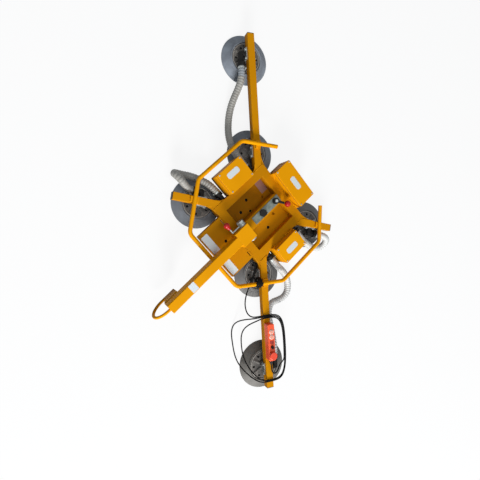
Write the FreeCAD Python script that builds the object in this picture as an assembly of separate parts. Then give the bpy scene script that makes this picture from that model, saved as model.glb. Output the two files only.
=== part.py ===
import FreeCAD, Part
import math
import os

# Glass panel lifter lying on its six suction cups. Millimetres.
# +X runs along the lifting arm to the crane loop, +Y to its left, +Z away from the glass.
# Shapes are made about the pivot of the swivel head, with the cup lips at height zero. When they are
# saved they are moved along X, so that the origin is the middle of the whole footprint without its cords.

V = FreeCAD.Vector
UP = V(0, 0, 1)
ORIGIN = V(0, 0, 0)

# Clearances that several pieces share
running_gap = 0.05
side_gap = 0.5
loose_gap = 0.3
cut_overrun = 2.0

# Arms: square tubes that leave the base at arm_angle from the X axis
arm_angle = 51.4
arm_size = 40.0
arm_wall = 3.0
arm_corner = 2.5
arm_ground_gap = 70.0
long_arm_reach = 985.0
front_short_reach = 500.0
rear_short_reach = 475.0
plug_flange = 3.0
plug_depth = 18.0

# Base frame: a square of folded channel, with a floor and a front panel
base_size = 390.0
rim_width = 50.0
rim_depth = 50.0
rim_wall = 4.0
floor_thickness = 4.0
gusset_thickness = 5.0
gusset_inner_leg = 38.0
gusset_outer_leg = 58.0
panel_length = 160.0
panel_width = 290.0
panel_depth = 34.0
panel_wall = 3.0
vent_slot_length = 30.0
vent_slot_width = 6.0
panel_hole_x = 256.0
panel_hole_y = -26.0
panel_hole_diameter = 17.0

# Handle ring: bent round tube above the arms, open at the rear
ring_tube = 22.0
ring_wall = 2.5
ring_lift = 9.0
ring_half_width = 367.0
ring_side_front = 158.0
ring_side_rear = 168.0
ring_front = 380.0
ring_front_half = 192.0
ring_end_x = 317.0
ring_end_y = 215.0
ring_bend = 42.0
tab_length = 44.0
tab_width = 30.0

# Equipment boxes on the base
box_rise = 55.0
box_wall = 3.0
box_corner = 6.0
lid_depth = 14.0
lid_wall = 2.5
right_box_rear_gap = 3.0
right_box_front_gap = 10.0
right_box_width = 125.0
left_box_rear_gap = 10.0
left_box_front_gap = 5.0
left_box_width = 103.0
rear_box_length = 114.0
rear_box_half = 122.0
screw_post = 12.0
screw_shank = 4.0
screw_head = 8.5
screw_head_height = 3.0
screw_length = 22.0
ear_thickness = 6.0
ear_length = 60.0
ear_height = 42.0
ear_hollow_share = 0.36

# Inside the boxes
battery_end_gap = 10.5
battery_width = 66.0
battery_height = 82.0
terminal_size = 9.0
pump_motor = 62.0
pump_end_gap = 15.0
pump_head_length = 44.0
pump_head_size = 70.0
pump_foot_height = 8.0
board_length = 190.0
board_width = 74.0
board_thickness = 1.6
board_standoff = 10.0
standoff_diameter = 7.0
chip_height = 12.0

# Swivel head, pivot and lock
pivot_diameter = 24.0
pivot_head = 38.0
pivot_head_height = 12.0
nut_height = 14.0
washer_diameter = 60.0
washer_thickness = 4.0
head_end_gap = 13.0
head_width = 64.0
head_height = 60.0
head_wall = 6.0
nose_reach = 188.0
nose_rim_gap = 4.0
index_edge_gap = 43.0
index_pin_diameter = 17.0
index_hole_slack = 1.0
index_turns = (0, 90, 140, 180, 210, 270, 315)
drain_hole_x = 22.0
drain_hole_y = -41.0
drain_hole_diameter = 16.0
lock_plate_rear_gap = 10.0
lock_plate_front = 69.0
lock_plate_width = 44.0
lock_plate_thickness = 6.0
lock_slot_radius = 27.0
lock_slot_width = 7.0
lock_slot_start = 95.0
lock_slot_step = 13.0
lock_slot_holes = 5

# Swivel lock lever and index pin
lever_hub_diameter = 34.0
lever_hub_height = 18.0
lever_turn = 128.0
lever_grip_diameter = 14.0
lever_grip_reach = 50.0
lever_stem_diameter = 7.0
lever_reach = 76.0
lever_knob = 36.0
pin_tip_gap = 2.0
pin_top_rise = 4.0

# Hinge of the lifting arm
hinge_x = 152.0
hinge_rise = 54.0
hinge_pin_diameter = 24.0
hinge_ear_radius = 23.0
hinge_ear_inner = 18.0
fork_wall = 9.5
fork_roof = 10.0
fork_reach = 74.0
fork_rear_radius = 26.0
fork_roof_rear = 16.0
fork_front_wall = 8.0
hinge_head_diameter = 36.0
hinge_head_height = 11.0

# Tilt lock lever beside the fork
tilt_hub_diameter = 40.0
tilt_hub_width = 14.0
tilt_rod_diameter = 10.0
tilt_rod_reach = 68.0
tilt_stem_diameter = 9.0
tilt_stem_length = 50.0
tilt_knob = 32.0
tilt_neck_diameter = 15.0
tilt_neck_length = 26.0

# Lifting arm with its hanger plate and crane loop
lift_width = 50.0
lift_depth = 70.0
lift_wall = 4.0
lift_corner = 4.0
lift_end = 708.0
lift_ring_gap = 5.0
hanger_thickness = 12.0
hanger_top_length = 86.0
hanger_foot_length = 62.0
hanger_foot_inset = 24.0
hanger_drop = 98.0
loop_bar = 15.0
loop_reach = 5.0

# Suction cups under the arms, each on a ball stud with a cross pin
cup_diameter = 280.0
cup_lip_width = 13.0
cup_lip_height = 5.0
cup_cavity = 15.0
cup_shoulder_diameter = 186.0
cup_shoulder_height = 30.0
cup_collar_diameter = 170.0
cup_collar_height = 37.0
cup_plate_thickness = 8.0
cup_plate_seat = 24.0
cup_plate_hole = 15.0
cup_plate_hole_circle = 124.0
cup_plate_hole_count = 6
cup_rib_height = 6.0
cup_rib_width = 8.0
cup_hub_diameter = 54.0
cup_hub_height = 25.0
ball_diameter = 28.0
ball_height = 45.0
stud_diameter = 15.0
stud_swing = 6.0
cup_pin_diameter = 12.0
inner_cup_reach = 345.0
outer_cup_reach = 880.0
carrier_length = 64.0
carrier_plate = 8.0
carrier_cheek = 5.0
carrier_cheek_height = 24.0

# Vacuum hoses: ribbed tubes from ports on the base to elbows on the carriers
hose_diameter = 40.0
hose_bore = 32.0
hose_valley = 36.0
hose_rib_pitch = 14.0
rib_shares = (0.12, 0.34, 0.62, 0.84)
port_arm_gap = 3.0
port_drop = 30.0
port_length = 45.0
port_lead = 55.0
port_diameter = 30.0
collar_diameter = 44.0
collar_length = 18.0
elbow_offset = 52.0
elbow_rise = 6.0
route_trim_share = 0.45

# Routes from the carriers' elbows as reach along the arm, offset to its left and height, chosen by hand
# from the view. Each is closed by a run in line with its port.
rear_long_route = [
    (812, 52, 76), (752, 52, 76), (692, 74, 62), (640, 98, 44), (584, 117, 30), (524, 128, 23),
    (464, 133, 24), (410, 133, 38), (356, 125, 62)]
front_short_route = [
    (392, -52, 76), (425, -52, 76), (460, -56, 82), (488, -72, 68), (495, -96, 46), (480, -121, 26),
    (446, -133, 24), (405, -131, 40), (358, -119, 60)]
front_long_route = [
    (812, 52, 76), (770, 52, 76), (726, 55, 62), (682, 58, 42), (636, 58, 27), (592, 54, 22), (552, 62, 22),
    (522, 86, 22), (502, 120, 23.5), (474, 147, 28), (434, 159, 37), (390, 150, 51), (345, 128, 67)]
rear_short_route = [
    (392, -52, 76), (425, -52, 76), (460, -56, 82), (488, -72, 68), (495, -96, 46), (480, -121, 26),
    (446, -133, 24), (405, -131, 40), (358, -119, 60)]

# Pendant cable: lead from the base, then a hank of loops laid over the front long arm
cable_diameter = 7.0
gland_diameter = 20.0
gland_length = 27.0
gland_step = 13.0
gland_drop = 25.0
lead_route = [
    (286, -38.5, 84.5), (316, -42, 80), (352, -50, 71), (388, -62, 61), (424, -79, 52),
    (460, -93, 49), (494, -105, 57), (522, -112, 75), (546, -111.5, 92), (563, -101, 104)]
lead_last_run = 24.0
hank_middle = 760.0
hank_half_length = 190.0
hank_right_reach = 122.0
hank_left_reach = 201.0
hank_left_lean_share = 0.28
hank_pitch = 8.4
hank_left_pitch = 38.8
hank_start_turn = -0.016
hank_end_turn = 2.31
hank_steps = 32
hank_square = 0.7
hank_right_square = 0.6
hank_right_height = 72.0
hank_near = 60.0
hank_far = 172.0
hank_rest_gap = 0.8
hank_tail = [(874, 80, 84), (900, 60, 97), (909, 36, 112), (898, 13, 125), (878, 3, 131)]
self_gap_reach = 60.0
self_gap_step = 4.0

# Pendant that lies on the front long arm
pendant_start = 612.0
pendant_length = 205.0
pendant_width = 40.0
pendant_height = 46.0
pendant_round = 7.0
button_diameter = 19.0
button_rise = 4.0
button_depth = 7.0
grip_button_at = 43.0
release_button_at = 71.0
selector_at = 127.0
selector_diameter = 17.0
selector_rise = 9.0
selector_stem = 8.0
stop_at = 174.0
stop_diameter = 44.0
stop_height = 12.0
stop_travel_gap = 6.0
stop_stem = 18.0

# Heights and places that follow from the sizes above
arm_top = arm_ground_gap + arm_size
arm_half = arm_size / 2
base_half = base_size / 2
opening_half = base_half - rim_width
base_under = arm_top - rim_depth
floor_top = base_under + floor_thickness
box_top = arm_top + box_rise
ring_height = arm_top + ring_lift + ring_tube / 2
head_under = floor_top + washer_thickness
head_length = (opening_half - head_end_gap) * 2
index_radius = opening_half - index_edge_gap
lock_plate_rear = opening_half - lock_plate_rear_gap
head_top = head_under + head_height
plate_top = head_top + lock_plate_thickness
hinge_height = head_top + hinge_rise
lift_under = ring_height + ring_tube / 2 + lift_ring_gap
lift_top = lift_under + lift_depth
cheek_inner = head_width / 2 + side_gap
fork_half = cheek_inner + fork_wall
fork_front = hinge_x + fork_reach
hanger_right = -lift_width / 2
hanger_foot = lift_under - hanger_drop
loop_low_y = hanger_right + hanger_thickness / 2
loop_low_z = hanger_foot + loop_bar / 2
loop_high_z = lift_top - loop_bar
loop_radius = math.hypot(loop_low_y, loop_high_z - loop_low_z) / 2
loop_tip = lift_end + loop_reach + loop_radius + loop_bar / 2
rear_tip = outer_cup_reach * math.cos(math.radians(arm_angle)) + cup_diameter / 2
footprint_middle = (loop_tip - rear_tip) / 2
elbow_height = arm_ground_gap + elbow_rise
port_height = arm_top - port_drop
gland_height = arm_top - gland_drop
slope = math.radians(arm_angle)
root_inner_x = (base_half * math.cos(slope) - arm_half) / math.sin(slope)
root_outer_x = (base_half * math.cos(slope) + arm_half) / math.sin(slope)
root_corner_y = (base_half * math.sin(slope) - arm_half) / math.cos(slope)
port_x = root_inner_x - port_diameter / 2 - port_arm_gap
port_end_y = base_half + port_length
box_reach = port_x - collar_diameter / 2
right_box_rear = box_reach - right_box_rear_gap
right_box_front = box_reach - right_box_front_gap
left_box_rear = box_reach - left_box_rear_gap
left_box_front = box_reach - left_box_front_gap
battery_length = right_box_rear + right_box_front - (box_wall + battery_end_gap) * 2
pump_room = left_box_rear + left_box_front - box_wall * 2 - screw_post - loose_gap
pump_motor_length = pump_room - pump_head_length - pump_end_gap
gland_x = base_half + gland_step
gland_end_y = panel_width / 2 + gland_length

FRONT_LEFT = arm_angle
FRONT_RIGHT = -arm_angle
REAR_LEFT = 180 - arm_angle
REAR_RIGHT = 180 + arm_angle
arm_reaches = {FRONT_LEFT: long_arm_reach, REAR_RIGHT: long_arm_reach,
               FRONT_RIGHT: front_short_reach, REAR_LEFT: rear_short_reach}

os.makedirs("parts", exist_ok=True)
print("footprint middle from the pivot", round(footprint_middle, 3))


def save(name, *solids):
    """Write one node: a single solid, or a group of separate ones."""
    shape = (solids[0] if len(solids) == 1 else Part.makeCompound(list(solids))).copy()
    shape.translate(V(-footprint_middle, 0, 0))
    shape.exportStep("parts/" + name + ".step")
    print(name, "solids", len(shape.Solids), "valid", shape.isValid(), "volume", round(shape.Volume))


def block(x0, x1, y0, y1, z0, z1):
    return Part.makeBox(x1 - x0, y1 - y0, z1 - z0, V(x0, y0, z0))


def rod(diameter, start, end):
    return Part.makeCylinder(diameter / 2, (end - start).Length, start, end - start)


def hexagon(width, height, centre, axis):
    """Hexagonal prism, width across its flats, standing on centre along axis."""
    corner = width / 2 / math.cos(math.pi / 6)
    ring = [V(corner * math.cos(k * math.pi / 3), corner * math.sin(k * math.pi / 3), 0) for k in range(7)]
    prism = Part.Face(Part.makePolygon(ring)).extrude(UP * height)
    prism.Placement = FreeCAD.Placement(centre, FreeCAD.Rotation(UP, axis))
    return prism


def rounded(solid, radius, axis):
    """Round the edges of a block that run along axis."""
    edges = [e for e in solid.Edges if abs(abs(e.tangentAt(e.FirstParameter).dot(axis)) - 1) < 1e-6]
    return solid.makeFillet(radius, edges)


def square_tube(x0, x1, width, z0, depth, wall, corner):
    """Rectangular tube along X, centred on Y, open at both ends."""
    outer = rounded(block(x0, x1, -width / 2, width / 2, z0, z0 + depth), corner, V(1, 0, 0))
    inner = block(x0 - cut_overrun, x1 + cut_overrun, wall - width / 2, width / 2 - wall,
                  z0 + wall, z0 + depth - wall)
    return outer.cut(inner)


def on_arm(shape, angle):
    """Turn a shape that was made along X into the direction of an arm."""
    turned = shape.copy()
    turned.rotate(ORIGIN, UP, angle)
    return turned


def arm_point(angle, reach, offset, height):
    """A point by its reach along an arm, its offset to the arm's left and its height."""
    a = math.radians(angle)
    return V(reach * math.cos(a) - offset * math.sin(a), reach * math.sin(a) + offset * math.cos(a), height)


def arc_from(start, corner, end):
    """Arc that leaves start towards corner and reaches end along the line from corner."""
    turn = (corner - start).getAngle(end - corner)
    chord_middle = (start + end) / 2
    middle = chord_middle + (corner - chord_middle) * (math.tan(turn / 4) / math.tan(turn / 2))
    return Part.Arc(start, middle, end).toShape()


def rounded_route(name, points):
    """Straight runs joined by tangent arcs, each as large as its two runs allow."""
    edges = []
    radii = []
    start = points[0]
    for before, corner, after in zip(points, points[1:], points[2:]):
        trim = route_trim_share * min((corner - before).Length, (after - corner).Length)
        arc_start = corner + (before - corner).normalize() * trim
        arc_end = corner + (after - corner).normalize() * trim
        radii.append(trim / math.tan((corner - before).getAngle(after - corner) / 2))
        edges.append(Part.LineSegment(start, arc_start).toShape())
        edges.append(arc_from(arc_start, corner, arc_end))
        start = arc_end
    edges.append(Part.LineSegment(start, points[-1]).toShape())
    print(name, "length", round(sum(e.Length for e in edges)), "radii", [round(r) for r in radii])
    return edges


def round_tube(edges, diameter):
    first = edges[0]
    start = first.valueAt(first.FirstParameter)
    circle = Part.makeCircle(diameter / 2, start, first.tangentAt(first.FirstParameter))
    return Part.Wire(edges).makePipeShell([Part.Wire([circle])], True, False)


def check_tube(name, solid, edges, diameter):
    """Print the volume of a tube beside its section times its length."""
    expected = math.pi * diameter ** 2 / 4 * sum(e.Length for e in edges)
    print(name, "volume share of section times length", round(solid.Volume / expected, 4))


# Base frame: folded channel on four sides, open below, with curved gussets to the arms
rim = block(-base_half, base_half, -base_half, base_half, base_under, arm_top)
rim = rim.cut(block(-opening_half, opening_half, -opening_half, opening_half,
                    base_under - cut_overrun, arm_top + cut_overrun))
channel_outer = base_half - rim_wall
channel_inner = opening_half + rim_wall
channel = block(-channel_outer, channel_outer, -channel_outer, channel_outer,
                base_under - cut_overrun, arm_top - rim_wall)
channel = channel.cut(block(-channel_inner, channel_inner, -channel_inner, channel_inner,
                            base_under - cut_overrun * 2, arm_top))
base_frame = rim.cut(channel)

gusset_top = arm_top - arm_corner
gusset_under = gusset_top - gusset_thickness
arm_heading = V(math.cos(slope), math.sin(slope), 0)


def gusset(meeting, rim_heading, leg, extra):
    """Flat plate with a hollow edge, tangent to the arm's side and to the rim."""
    on_side = meeting + arm_heading * leg
    on_rim = meeting + rim_heading * leg
    outline = [arc_from(on_side, meeting, on_rim)]
    corners = [on_rim] + extra + [on_side]
    outline += [Part.LineSegment(a, b).toShape() for a, b in zip(corners, corners[1:])]
    return Part.Face(Part.Wire(outline)).extrude(UP * gusset_thickness)


inner_meeting = V(root_inner_x, base_half, gusset_under)
inner_gusset = gusset(inner_meeting, V(-1, 0, 0), gusset_inner_leg, [inner_meeting])
outer_meeting = V(base_half, root_corner_y, gusset_under)
outer_gusset = gusset(outer_meeting, V(0, -1, 0), gusset_outer_leg,
                      [V(base_half, base_half, gusset_under), V(root_outer_x, base_half, gusset_under)])
mirror_x = V(1, 0, 0)
mirror_y = V(0, 1, 0)
for plate in (inner_gusset, outer_gusset):
    across = plate.mirror(ORIGIN, mirror_y)
    base_frame = base_frame.fuse([plate, across, plate.mirror(ORIGIN, mirror_x),
                                  across.mirror(ORIGIN, mirror_x)])
base_frame = base_frame.removeSplitter()
save("base_frame", base_frame.Solids[0])

# Base floor: plate in the frame's opening, with the pivot hole and the index holes
base_floor = block(-opening_half, opening_half, -opening_half, opening_half, base_under, floor_top)
floor_cut_start = V(0, 0, base_under - cut_overrun)
floor_cut = UP * (floor_thickness + cut_overrun * 2)
holes = [rod(pivot_diameter + running_gap * 2, floor_cut_start, floor_cut_start + floor_cut)]
for turn in index_turns:
    heading = V(math.cos(math.radians(turn)), math.sin(math.radians(turn)), 0)
    foot = floor_cut_start + heading * index_radius
    holes.append(rod(index_pin_diameter + index_hole_slack, foot, foot + floor_cut))
drain = floor_cut_start + V(drain_hole_x, drain_hole_y, 0)
holes.append(rod(drain_hole_diameter, drain, drain + floor_cut))
save("base_floor", base_floor.cut(holes))

# Front panel: shallow folded tray on the front of the base, under the lifting arm
panel_front = base_half + panel_length
panel_half = panel_width / 2
front_panel = rounded(block(base_half, panel_front, -panel_half, panel_half, arm_top - panel_depth, arm_top),
                      panel_wall, V(0, 1, 0))
front_panel = front_panel.cut(block(base_half + panel_wall, panel_front - panel_wall, panel_wall - panel_half,
                                    panel_half - panel_wall, arm_top - panel_depth - cut_overrun,
                                    arm_top - panel_wall))
slot_y = panel_half - vent_slot_length
for side in (-1, 1):
    front_panel = front_panel.cut(block(
        base_half + vent_slot_width, base_half + vent_slot_width * 2,
        side * slot_y - vent_slot_length / 2, side * slot_y + vent_slot_length / 2,
        arm_top - panel_wall - cut_overrun, arm_top + cut_overrun))
panel_hole = V(panel_hole_x, panel_hole_y, arm_top - panel_wall - cut_overrun)
panel_drill = UP * (panel_wall + cut_overrun * 2)
front_panel = front_panel.cut(rod(panel_hole_diameter, panel_hole, panel_hole + panel_drill))
save("front_panel", front_panel)

# Arms: square tubes cut along the base's sides, with a plug in each end
base_core = block(-base_half, base_half, -base_half, base_half, base_under - cut_overrun,
                  arm_top + cut_overrun)
arm_names = {FRONT_LEFT: "long_arm_front", REAR_RIGHT: "long_arm_rear",
             FRONT_RIGHT: "short_arm_front", REAR_LEFT: "short_arm_rear"}
plugs = []
for angle, reach in arm_reaches.items():
    tube = square_tube(0, reach - plug_flange, arm_size, arm_ground_gap, arm_size, arm_wall, arm_corner)
    save(arm_names[angle], on_arm(tube, angle).cut(base_core))
    flange = rounded(block(reach - plug_flange, reach, -arm_half, arm_half, arm_ground_gap, arm_top),
                     arm_corner, V(1, 0, 0))
    stem_half = arm_half - arm_wall - loose_gap
    arm_middle = arm_ground_gap + arm_half
    stem = block(reach - plug_depth, reach - plug_flange, -stem_half, stem_half,
                 arm_middle - stem_half, arm_middle + stem_half)
    plugs.append(on_arm(flange.fuse(stem).removeSplitter(), angle))
save("arm_end_plugs", *plugs)

# Handle ring: one bent tube with capped ends, standing on a welded tab at each arm
half_outline = [V(-ring_end_x, -ring_end_y, ring_height),
                V(-ring_side_rear, -ring_half_width, ring_height),
                V(ring_side_front, -ring_half_width, ring_height),
                V(ring_front, -ring_front_half, ring_height)]
outline = half_outline + [V(p.x, -p.y, p.z) for p in reversed(half_outline)]
ring_edges = []
run_start = outline[0]
for before, corner, after in zip(outline, outline[1:], outline[2:]):
    tangent = ring_bend * math.tan((corner - before).getAngle(after - corner) / 2)
    bend_start = corner + (before - corner).normalize() * tangent
    bend_end = corner + (after - corner).normalize() * tangent
    ring_edges.append(Part.LineSegment(run_start, bend_start).toShape())
    ring_edges.append(arc_from(bend_start, corner, bend_end))
    run_start = bend_end
ring_edges.append(Part.LineSegment(run_start, outline[-1]).toShape())
ring_solid = round_tube(ring_edges, ring_tube)
ring_bore = round_tube(ring_edges, ring_tube - ring_wall * 2)
end_plug = ring_wall
end_heading = (outline[1] - outline[0]).normalize() * end_plug
end_cap = rod(ring_tube, outline[0], outline[0] + end_heading)
handle_ring = ring_solid.cut(ring_bore).fuse([end_cap, end_cap.mirror(ORIGIN, mirror_y)])


def line_crossing(a, b, angle):
    """Reach along an arm at which the arm's middle line meets the line through a and b."""
    heading = V(math.cos(math.radians(angle)), math.sin(math.radians(angle)), 0)
    run = b - a
    return (a.x * run.y - a.y * run.x) / (heading.x * run.y - heading.y * run.x)


tabs = []
for angle, a, b in ((REAR_RIGHT, outline[0], outline[1]), (FRONT_RIGHT, outline[2], outline[3]),
                    (FRONT_LEFT, outline[4], outline[5]), (REAR_LEFT, outline[6], outline[7])):
    crossing = line_crossing(a, b, angle)
    tab = block(crossing - tab_length / 2, crossing + tab_length / 2, -tab_width / 2, tab_width / 2,
                arm_top, ring_height)
    tabs.append(on_arm(tab, angle).cut(ring_solid))
lower_half = block(-base_size * 2, base_size * 2, -base_size * 2, base_size * 2, arm_top,
                   ring_height - ring_tube / 4)
tabs = [tab.common(lower_half).Solids for tab in tabs]
handle_ring = handle_ring.fuse([s for group in tabs for s in group]).removeSplitter()
save("handle_ring", handle_ring.Solids[0])

# Equipment boxes: open shells with screw posts, each under a cap lid with four screws
screws = []


def equipment_box(name, x0, x1, y0, y1):
    seam = box_top - lid_depth
    shell = rounded(block(x0, x1, y0, y1, base_under, seam), box_corner, UP)
    hollow = rounded(block(x0 + box_wall, x1 - box_wall, y0 + box_wall, y1 - box_wall,
                           base_under + box_wall, seam + cut_overrun), box_wall, UP)
    shell = shell.cut(hollow)
    lid = rounded(block(x0, x1, y0, y1, seam, box_top), box_corner, UP)
    top_edges = [e for e in lid.Edges if abs(e.BoundBox.ZMin - box_top) < loose_gap]
    lid = lid.makeFillet(lid_wall / 2, top_edges)
    lid = lid.cut(rounded(block(x0 + lid_wall, x1 - lid_wall, y0 + lid_wall, y1 - lid_wall,
                                seam - cut_overrun, box_top - lid_wall), lid_wall, UP))
    inset = box_wall + screw_post / 2
    for x in (x0 + inset, x1 - inset):
        for y in (y0 + inset, y1 - inset):
            top = V(x, y, box_top)
            post = block(x - screw_post / 2, x + screw_post / 2, y - screw_post / 2, y + screw_post / 2,
                         base_under + box_wall, seam)
            bore = rod(screw_shank + loose_gap * 2, top - UP * (screw_length + cut_overrun),
                       top + UP * cut_overrun)
            shell = shell.fuse(post).cut(bore)
            lid = lid.cut(bore)
            screw = rod(screw_head, top, top + UP * screw_head_height)
            screws.append(screw.fuse(rod(screw_shank, top - UP * screw_length, top)).removeSplitter())
    save(name, shell.removeSplitter())
    save(name + "_lid", lid)


right_side = -base_half - right_box_width
left_side = base_half + left_box_width
rear_side = -base_half - rear_box_length
equipment_box("right_box", -right_box_rear, right_box_front, right_side, -base_half)
equipment_box("left_box", -left_box_rear, left_box_front, base_half, left_side)
equipment_box("rear_box", rear_side, -base_half, -rear_box_half, rear_box_half)
save("lid_screws", *screws)

# Box ears: hollow-edged plates on the rim that brace the rear box and the left box
ear_plan = [V(0, 0, 0), V(ear_length, 0, 0), V(0, 0, ear_height)]
ear_round = V(ear_length, 0, ear_height) * ear_hollow_share
ear_face = Part.Face(Part.Wire([Part.LineSegment(ear_plan[2], ear_plan[0]).toShape(),
                                Part.LineSegment(ear_plan[0], ear_plan[1]).toShape(),
                                Part.Arc(ear_plan[1], ear_round, ear_plan[2]).toShape()]))
ear = ear_face.extrude(V(0, ear_thickness, 0))
ears = []
for start_y, turn in ((-rear_box_half, 90), (rear_box_half, -90)):
    plate = ear.copy()
    plate.rotate(ORIGIN, UP, turn)
    plate.translate(V(-base_half if turn < 0 else -base_half + ear_thickness, start_y, arm_top))
    ears.append(plate)
for start_x, flip in ((-left_box_rear, False), (left_box_front, True)):
    plate = ear.mirror(ORIGIN, mirror_x) if flip else ear.copy()
    plate.translate(V(start_x, base_half - ear_thickness, arm_top))
    ears.append(plate)
save("box_ears", *ears)

# Battery in the right box: case with two terminals
box_floor = base_under + box_wall
battery_x = (right_box_front - right_box_rear) / 2
battery_y = right_side + right_box_width / 2
battery_top = box_floor + battery_height
battery = rounded(block(battery_x - battery_length / 2, battery_x + battery_length / 2,
                        battery_y - battery_width / 2, battery_y + battery_width / 2,
                        box_floor, battery_top), box_wall, UP)
for side in (-1, 1):
    foot = V(battery_x + side * battery_length / 3, battery_y, battery_top)
    battery = battery.fuse(rod(terminal_size, foot, foot + UP * terminal_size))
save("battery", battery.removeSplitter())

# Vacuum pump in the left box: motor, pump head and two feet in one casting
pump_x = -left_box_rear + box_wall + screw_post + loose_gap
pump_y = base_half + left_box_width / 2
pump_z = box_floor + pump_foot_height + pump_head_size / 2
pump_end = pump_x + pump_head_length
pump = rounded(block(pump_x, pump_end, pump_y - pump_head_size / 2, pump_y + pump_head_size / 2,
                     pump_z - pump_head_size / 2, pump_z + pump_head_size / 2), box_corner, V(1, 0, 0))
motor_start = V(pump_end, pump_y, pump_z)
pump = pump.fuse(rod(pump_motor, motor_start, motor_start + V(pump_motor_length, 0, 0)))
for x in (pump_x, pump_end + pump_motor_length / 2):
    pump = pump.fuse(block(x, x + pump_head_length / 2, pump_y - pump_motor / 3, pump_y + pump_motor / 3,
                           box_floor, pump_z - pump_motor / 4))
save("vacuum_pump", pump.removeSplitter())

# Control board in the rear box: board on four standoffs with its larger parts
board_x = rear_side + rear_box_length / 2
board_under = box_floor + board_standoff
board_top = board_under + board_thickness
board = block(board_x - board_width / 2, board_x + board_width / 2, -board_length / 2, board_length / 2,
              board_under, board_top)
for x in (-1, 1):
    for y in (-1, 1):
        foot = V(board_x + x * (board_width / 2 - standoff_diameter),
                 y * (board_length / 2 - standoff_diameter), box_floor)
        board = board.fuse(rod(standoff_diameter, foot, foot + UP * board_standoff))
chip_shares = ((-0.3, -0.2, 0.3, 0.12), (0.05, -0.2, 0.3, 0.2), (-0.2, 0.18, 0.45, 0.14))
for x_share, y_share, wide_share, long_share in chip_shares:
    x = board_x + board_width * x_share
    y = board_length * y_share
    board = board.fuse(block(x, x + board_width * wide_share, y, y + board_length * long_share,
                             board_top, board_top + chip_height))
save("control_board", board.removeSplitter())

# Thrust washer and pivot bolt with its nut, on which the head turns
pivot_bore = rod(pivot_diameter + running_gap * 2, floor_cut_start, V(0, 0, lift_top))
thrust_washer = rod(washer_diameter, V(0, 0, floor_top), V(0, 0, head_under))
save("thrust_washer", thrust_washer.cut(pivot_bore))
bolt_foot = base_under - nut_height
bolt_head = plate_top + loose_gap
pivot_bolt = rod(pivot_diameter, V(0, 0, bolt_foot), V(0, 0, bolt_head))
pivot_bolt = pivot_bolt.fuse(hexagon(pivot_head, pivot_head_height, V(0, 0, bolt_head), UP))
pivot_nut = hexagon(pivot_head, nut_height, V(0, 0, bolt_foot), UP).cut(
    rod(pivot_diameter + running_gap * 2, V(0, 0, bolt_foot - cut_overrun), V(0, 0, base_under)))
save("pivot_bolt", pivot_bolt.removeSplitter(), pivot_nut)

# Swivel head: box beam on the washer, with a nose over the rim and two hinge ears
head_half = head_length / 2
head_side = head_width / 2
index_foot = V(-index_radius, 0, 0)
index_bore = rod(index_pin_diameter + running_gap * 2, index_foot, index_foot + UP * lift_top)
beam = rounded(block(-head_half, head_half, -head_side, head_side, head_under, head_top),
               head_wall / 2, V(1, 0, 0))
beam = beam.cut(block(-head_half - cut_overrun, head_half + cut_overrun, head_wall - head_side,
                      head_side - head_wall, head_under + head_wall, head_top - head_wall))
nose_under = arm_top + nose_rim_gap
head = beam.fuse(block(head_half - head_wall, nose_reach, -head_side, head_side, nose_under, head_top))
hinge_point = V(hinge_x, 0, hinge_height)
for side in (-1, 1):
    inner = V(0, side * hinge_ear_inner, 0)
    outer = V(0, side * head_side, 0)
    ear_block = block(hinge_x - hinge_ear_radius, hinge_x + hinge_ear_radius,
                      min(inner.y, outer.y), max(inner.y, outer.y), head_top, hinge_height)
    head = head.fuse([ear_block, rod(hinge_ear_radius * 2, hinge_point + inner, hinge_point + outer)])
hinge_reach = V(0, lift_width * 3, 0)
hinge_bore = rod(hinge_pin_diameter + running_gap * 2, hinge_point - hinge_reach, hinge_point + hinge_reach)
save("swivel_head", head.cut([pivot_bore, index_bore, hinge_bore]).removeSplitter())

# Lock plate: galvanised strip on the head, with an arc of holes round the pivot
lock_plate = block(-lock_plate_rear, lock_plate_front, -lock_plate_width / 2, lock_plate_width / 2,
                   head_top, plate_top)
lock_cuts = [pivot_bore, index_bore]
for k in range(lock_slot_holes):
    turn = math.radians(lock_slot_start + lock_slot_step * k)
    spot = V(math.cos(turn) * lock_slot_radius, math.sin(turn) * lock_slot_radius, head_top - cut_overrun)
    if abs(spot.y) < lock_plate_width / 2 - lock_slot_width / 2:
        lock_cuts.append(rod(lock_slot_width, spot, spot + UP * (lock_plate_thickness + cut_overrun * 2)))
save("lock_plate", lock_plate.cut(lock_cuts))

# Index pin and the swivel lock lever that drives it
hub_top = plate_top + lever_hub_height
index_pin = rod(index_pin_diameter, index_foot + UP * (floor_top + pin_tip_gap),
                index_foot + UP * (hub_top + pin_top_rise))
save("index_pin", index_pin)
lever_heading = V(math.cos(math.radians(lever_turn)), math.sin(math.radians(lever_turn)), 0)
lever_middle = index_foot + UP * (plate_top + lever_hub_height / 2)
knob_middle = lever_middle + lever_heading * lever_reach
lever = rod(lever_hub_diameter, index_foot + UP * (plate_top + loose_gap), index_foot + UP * hub_top)
lever = lever.fuse([rod(lever_grip_diameter, lever_middle, lever_middle + lever_heading * lever_grip_reach),
                    rod(lever_stem_diameter, lever_middle, knob_middle)])
save("swivel_lever", lever.cut(index_bore).removeSplitter())
knob = Part.makeSphere(lever_knob / 2, knob_middle)
knob = knob.cut(rod(lever_stem_diameter + running_gap * 2, lever_middle,
                    knob_middle + lever_heading * running_gap))
save("swivel_knob", knob)

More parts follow.
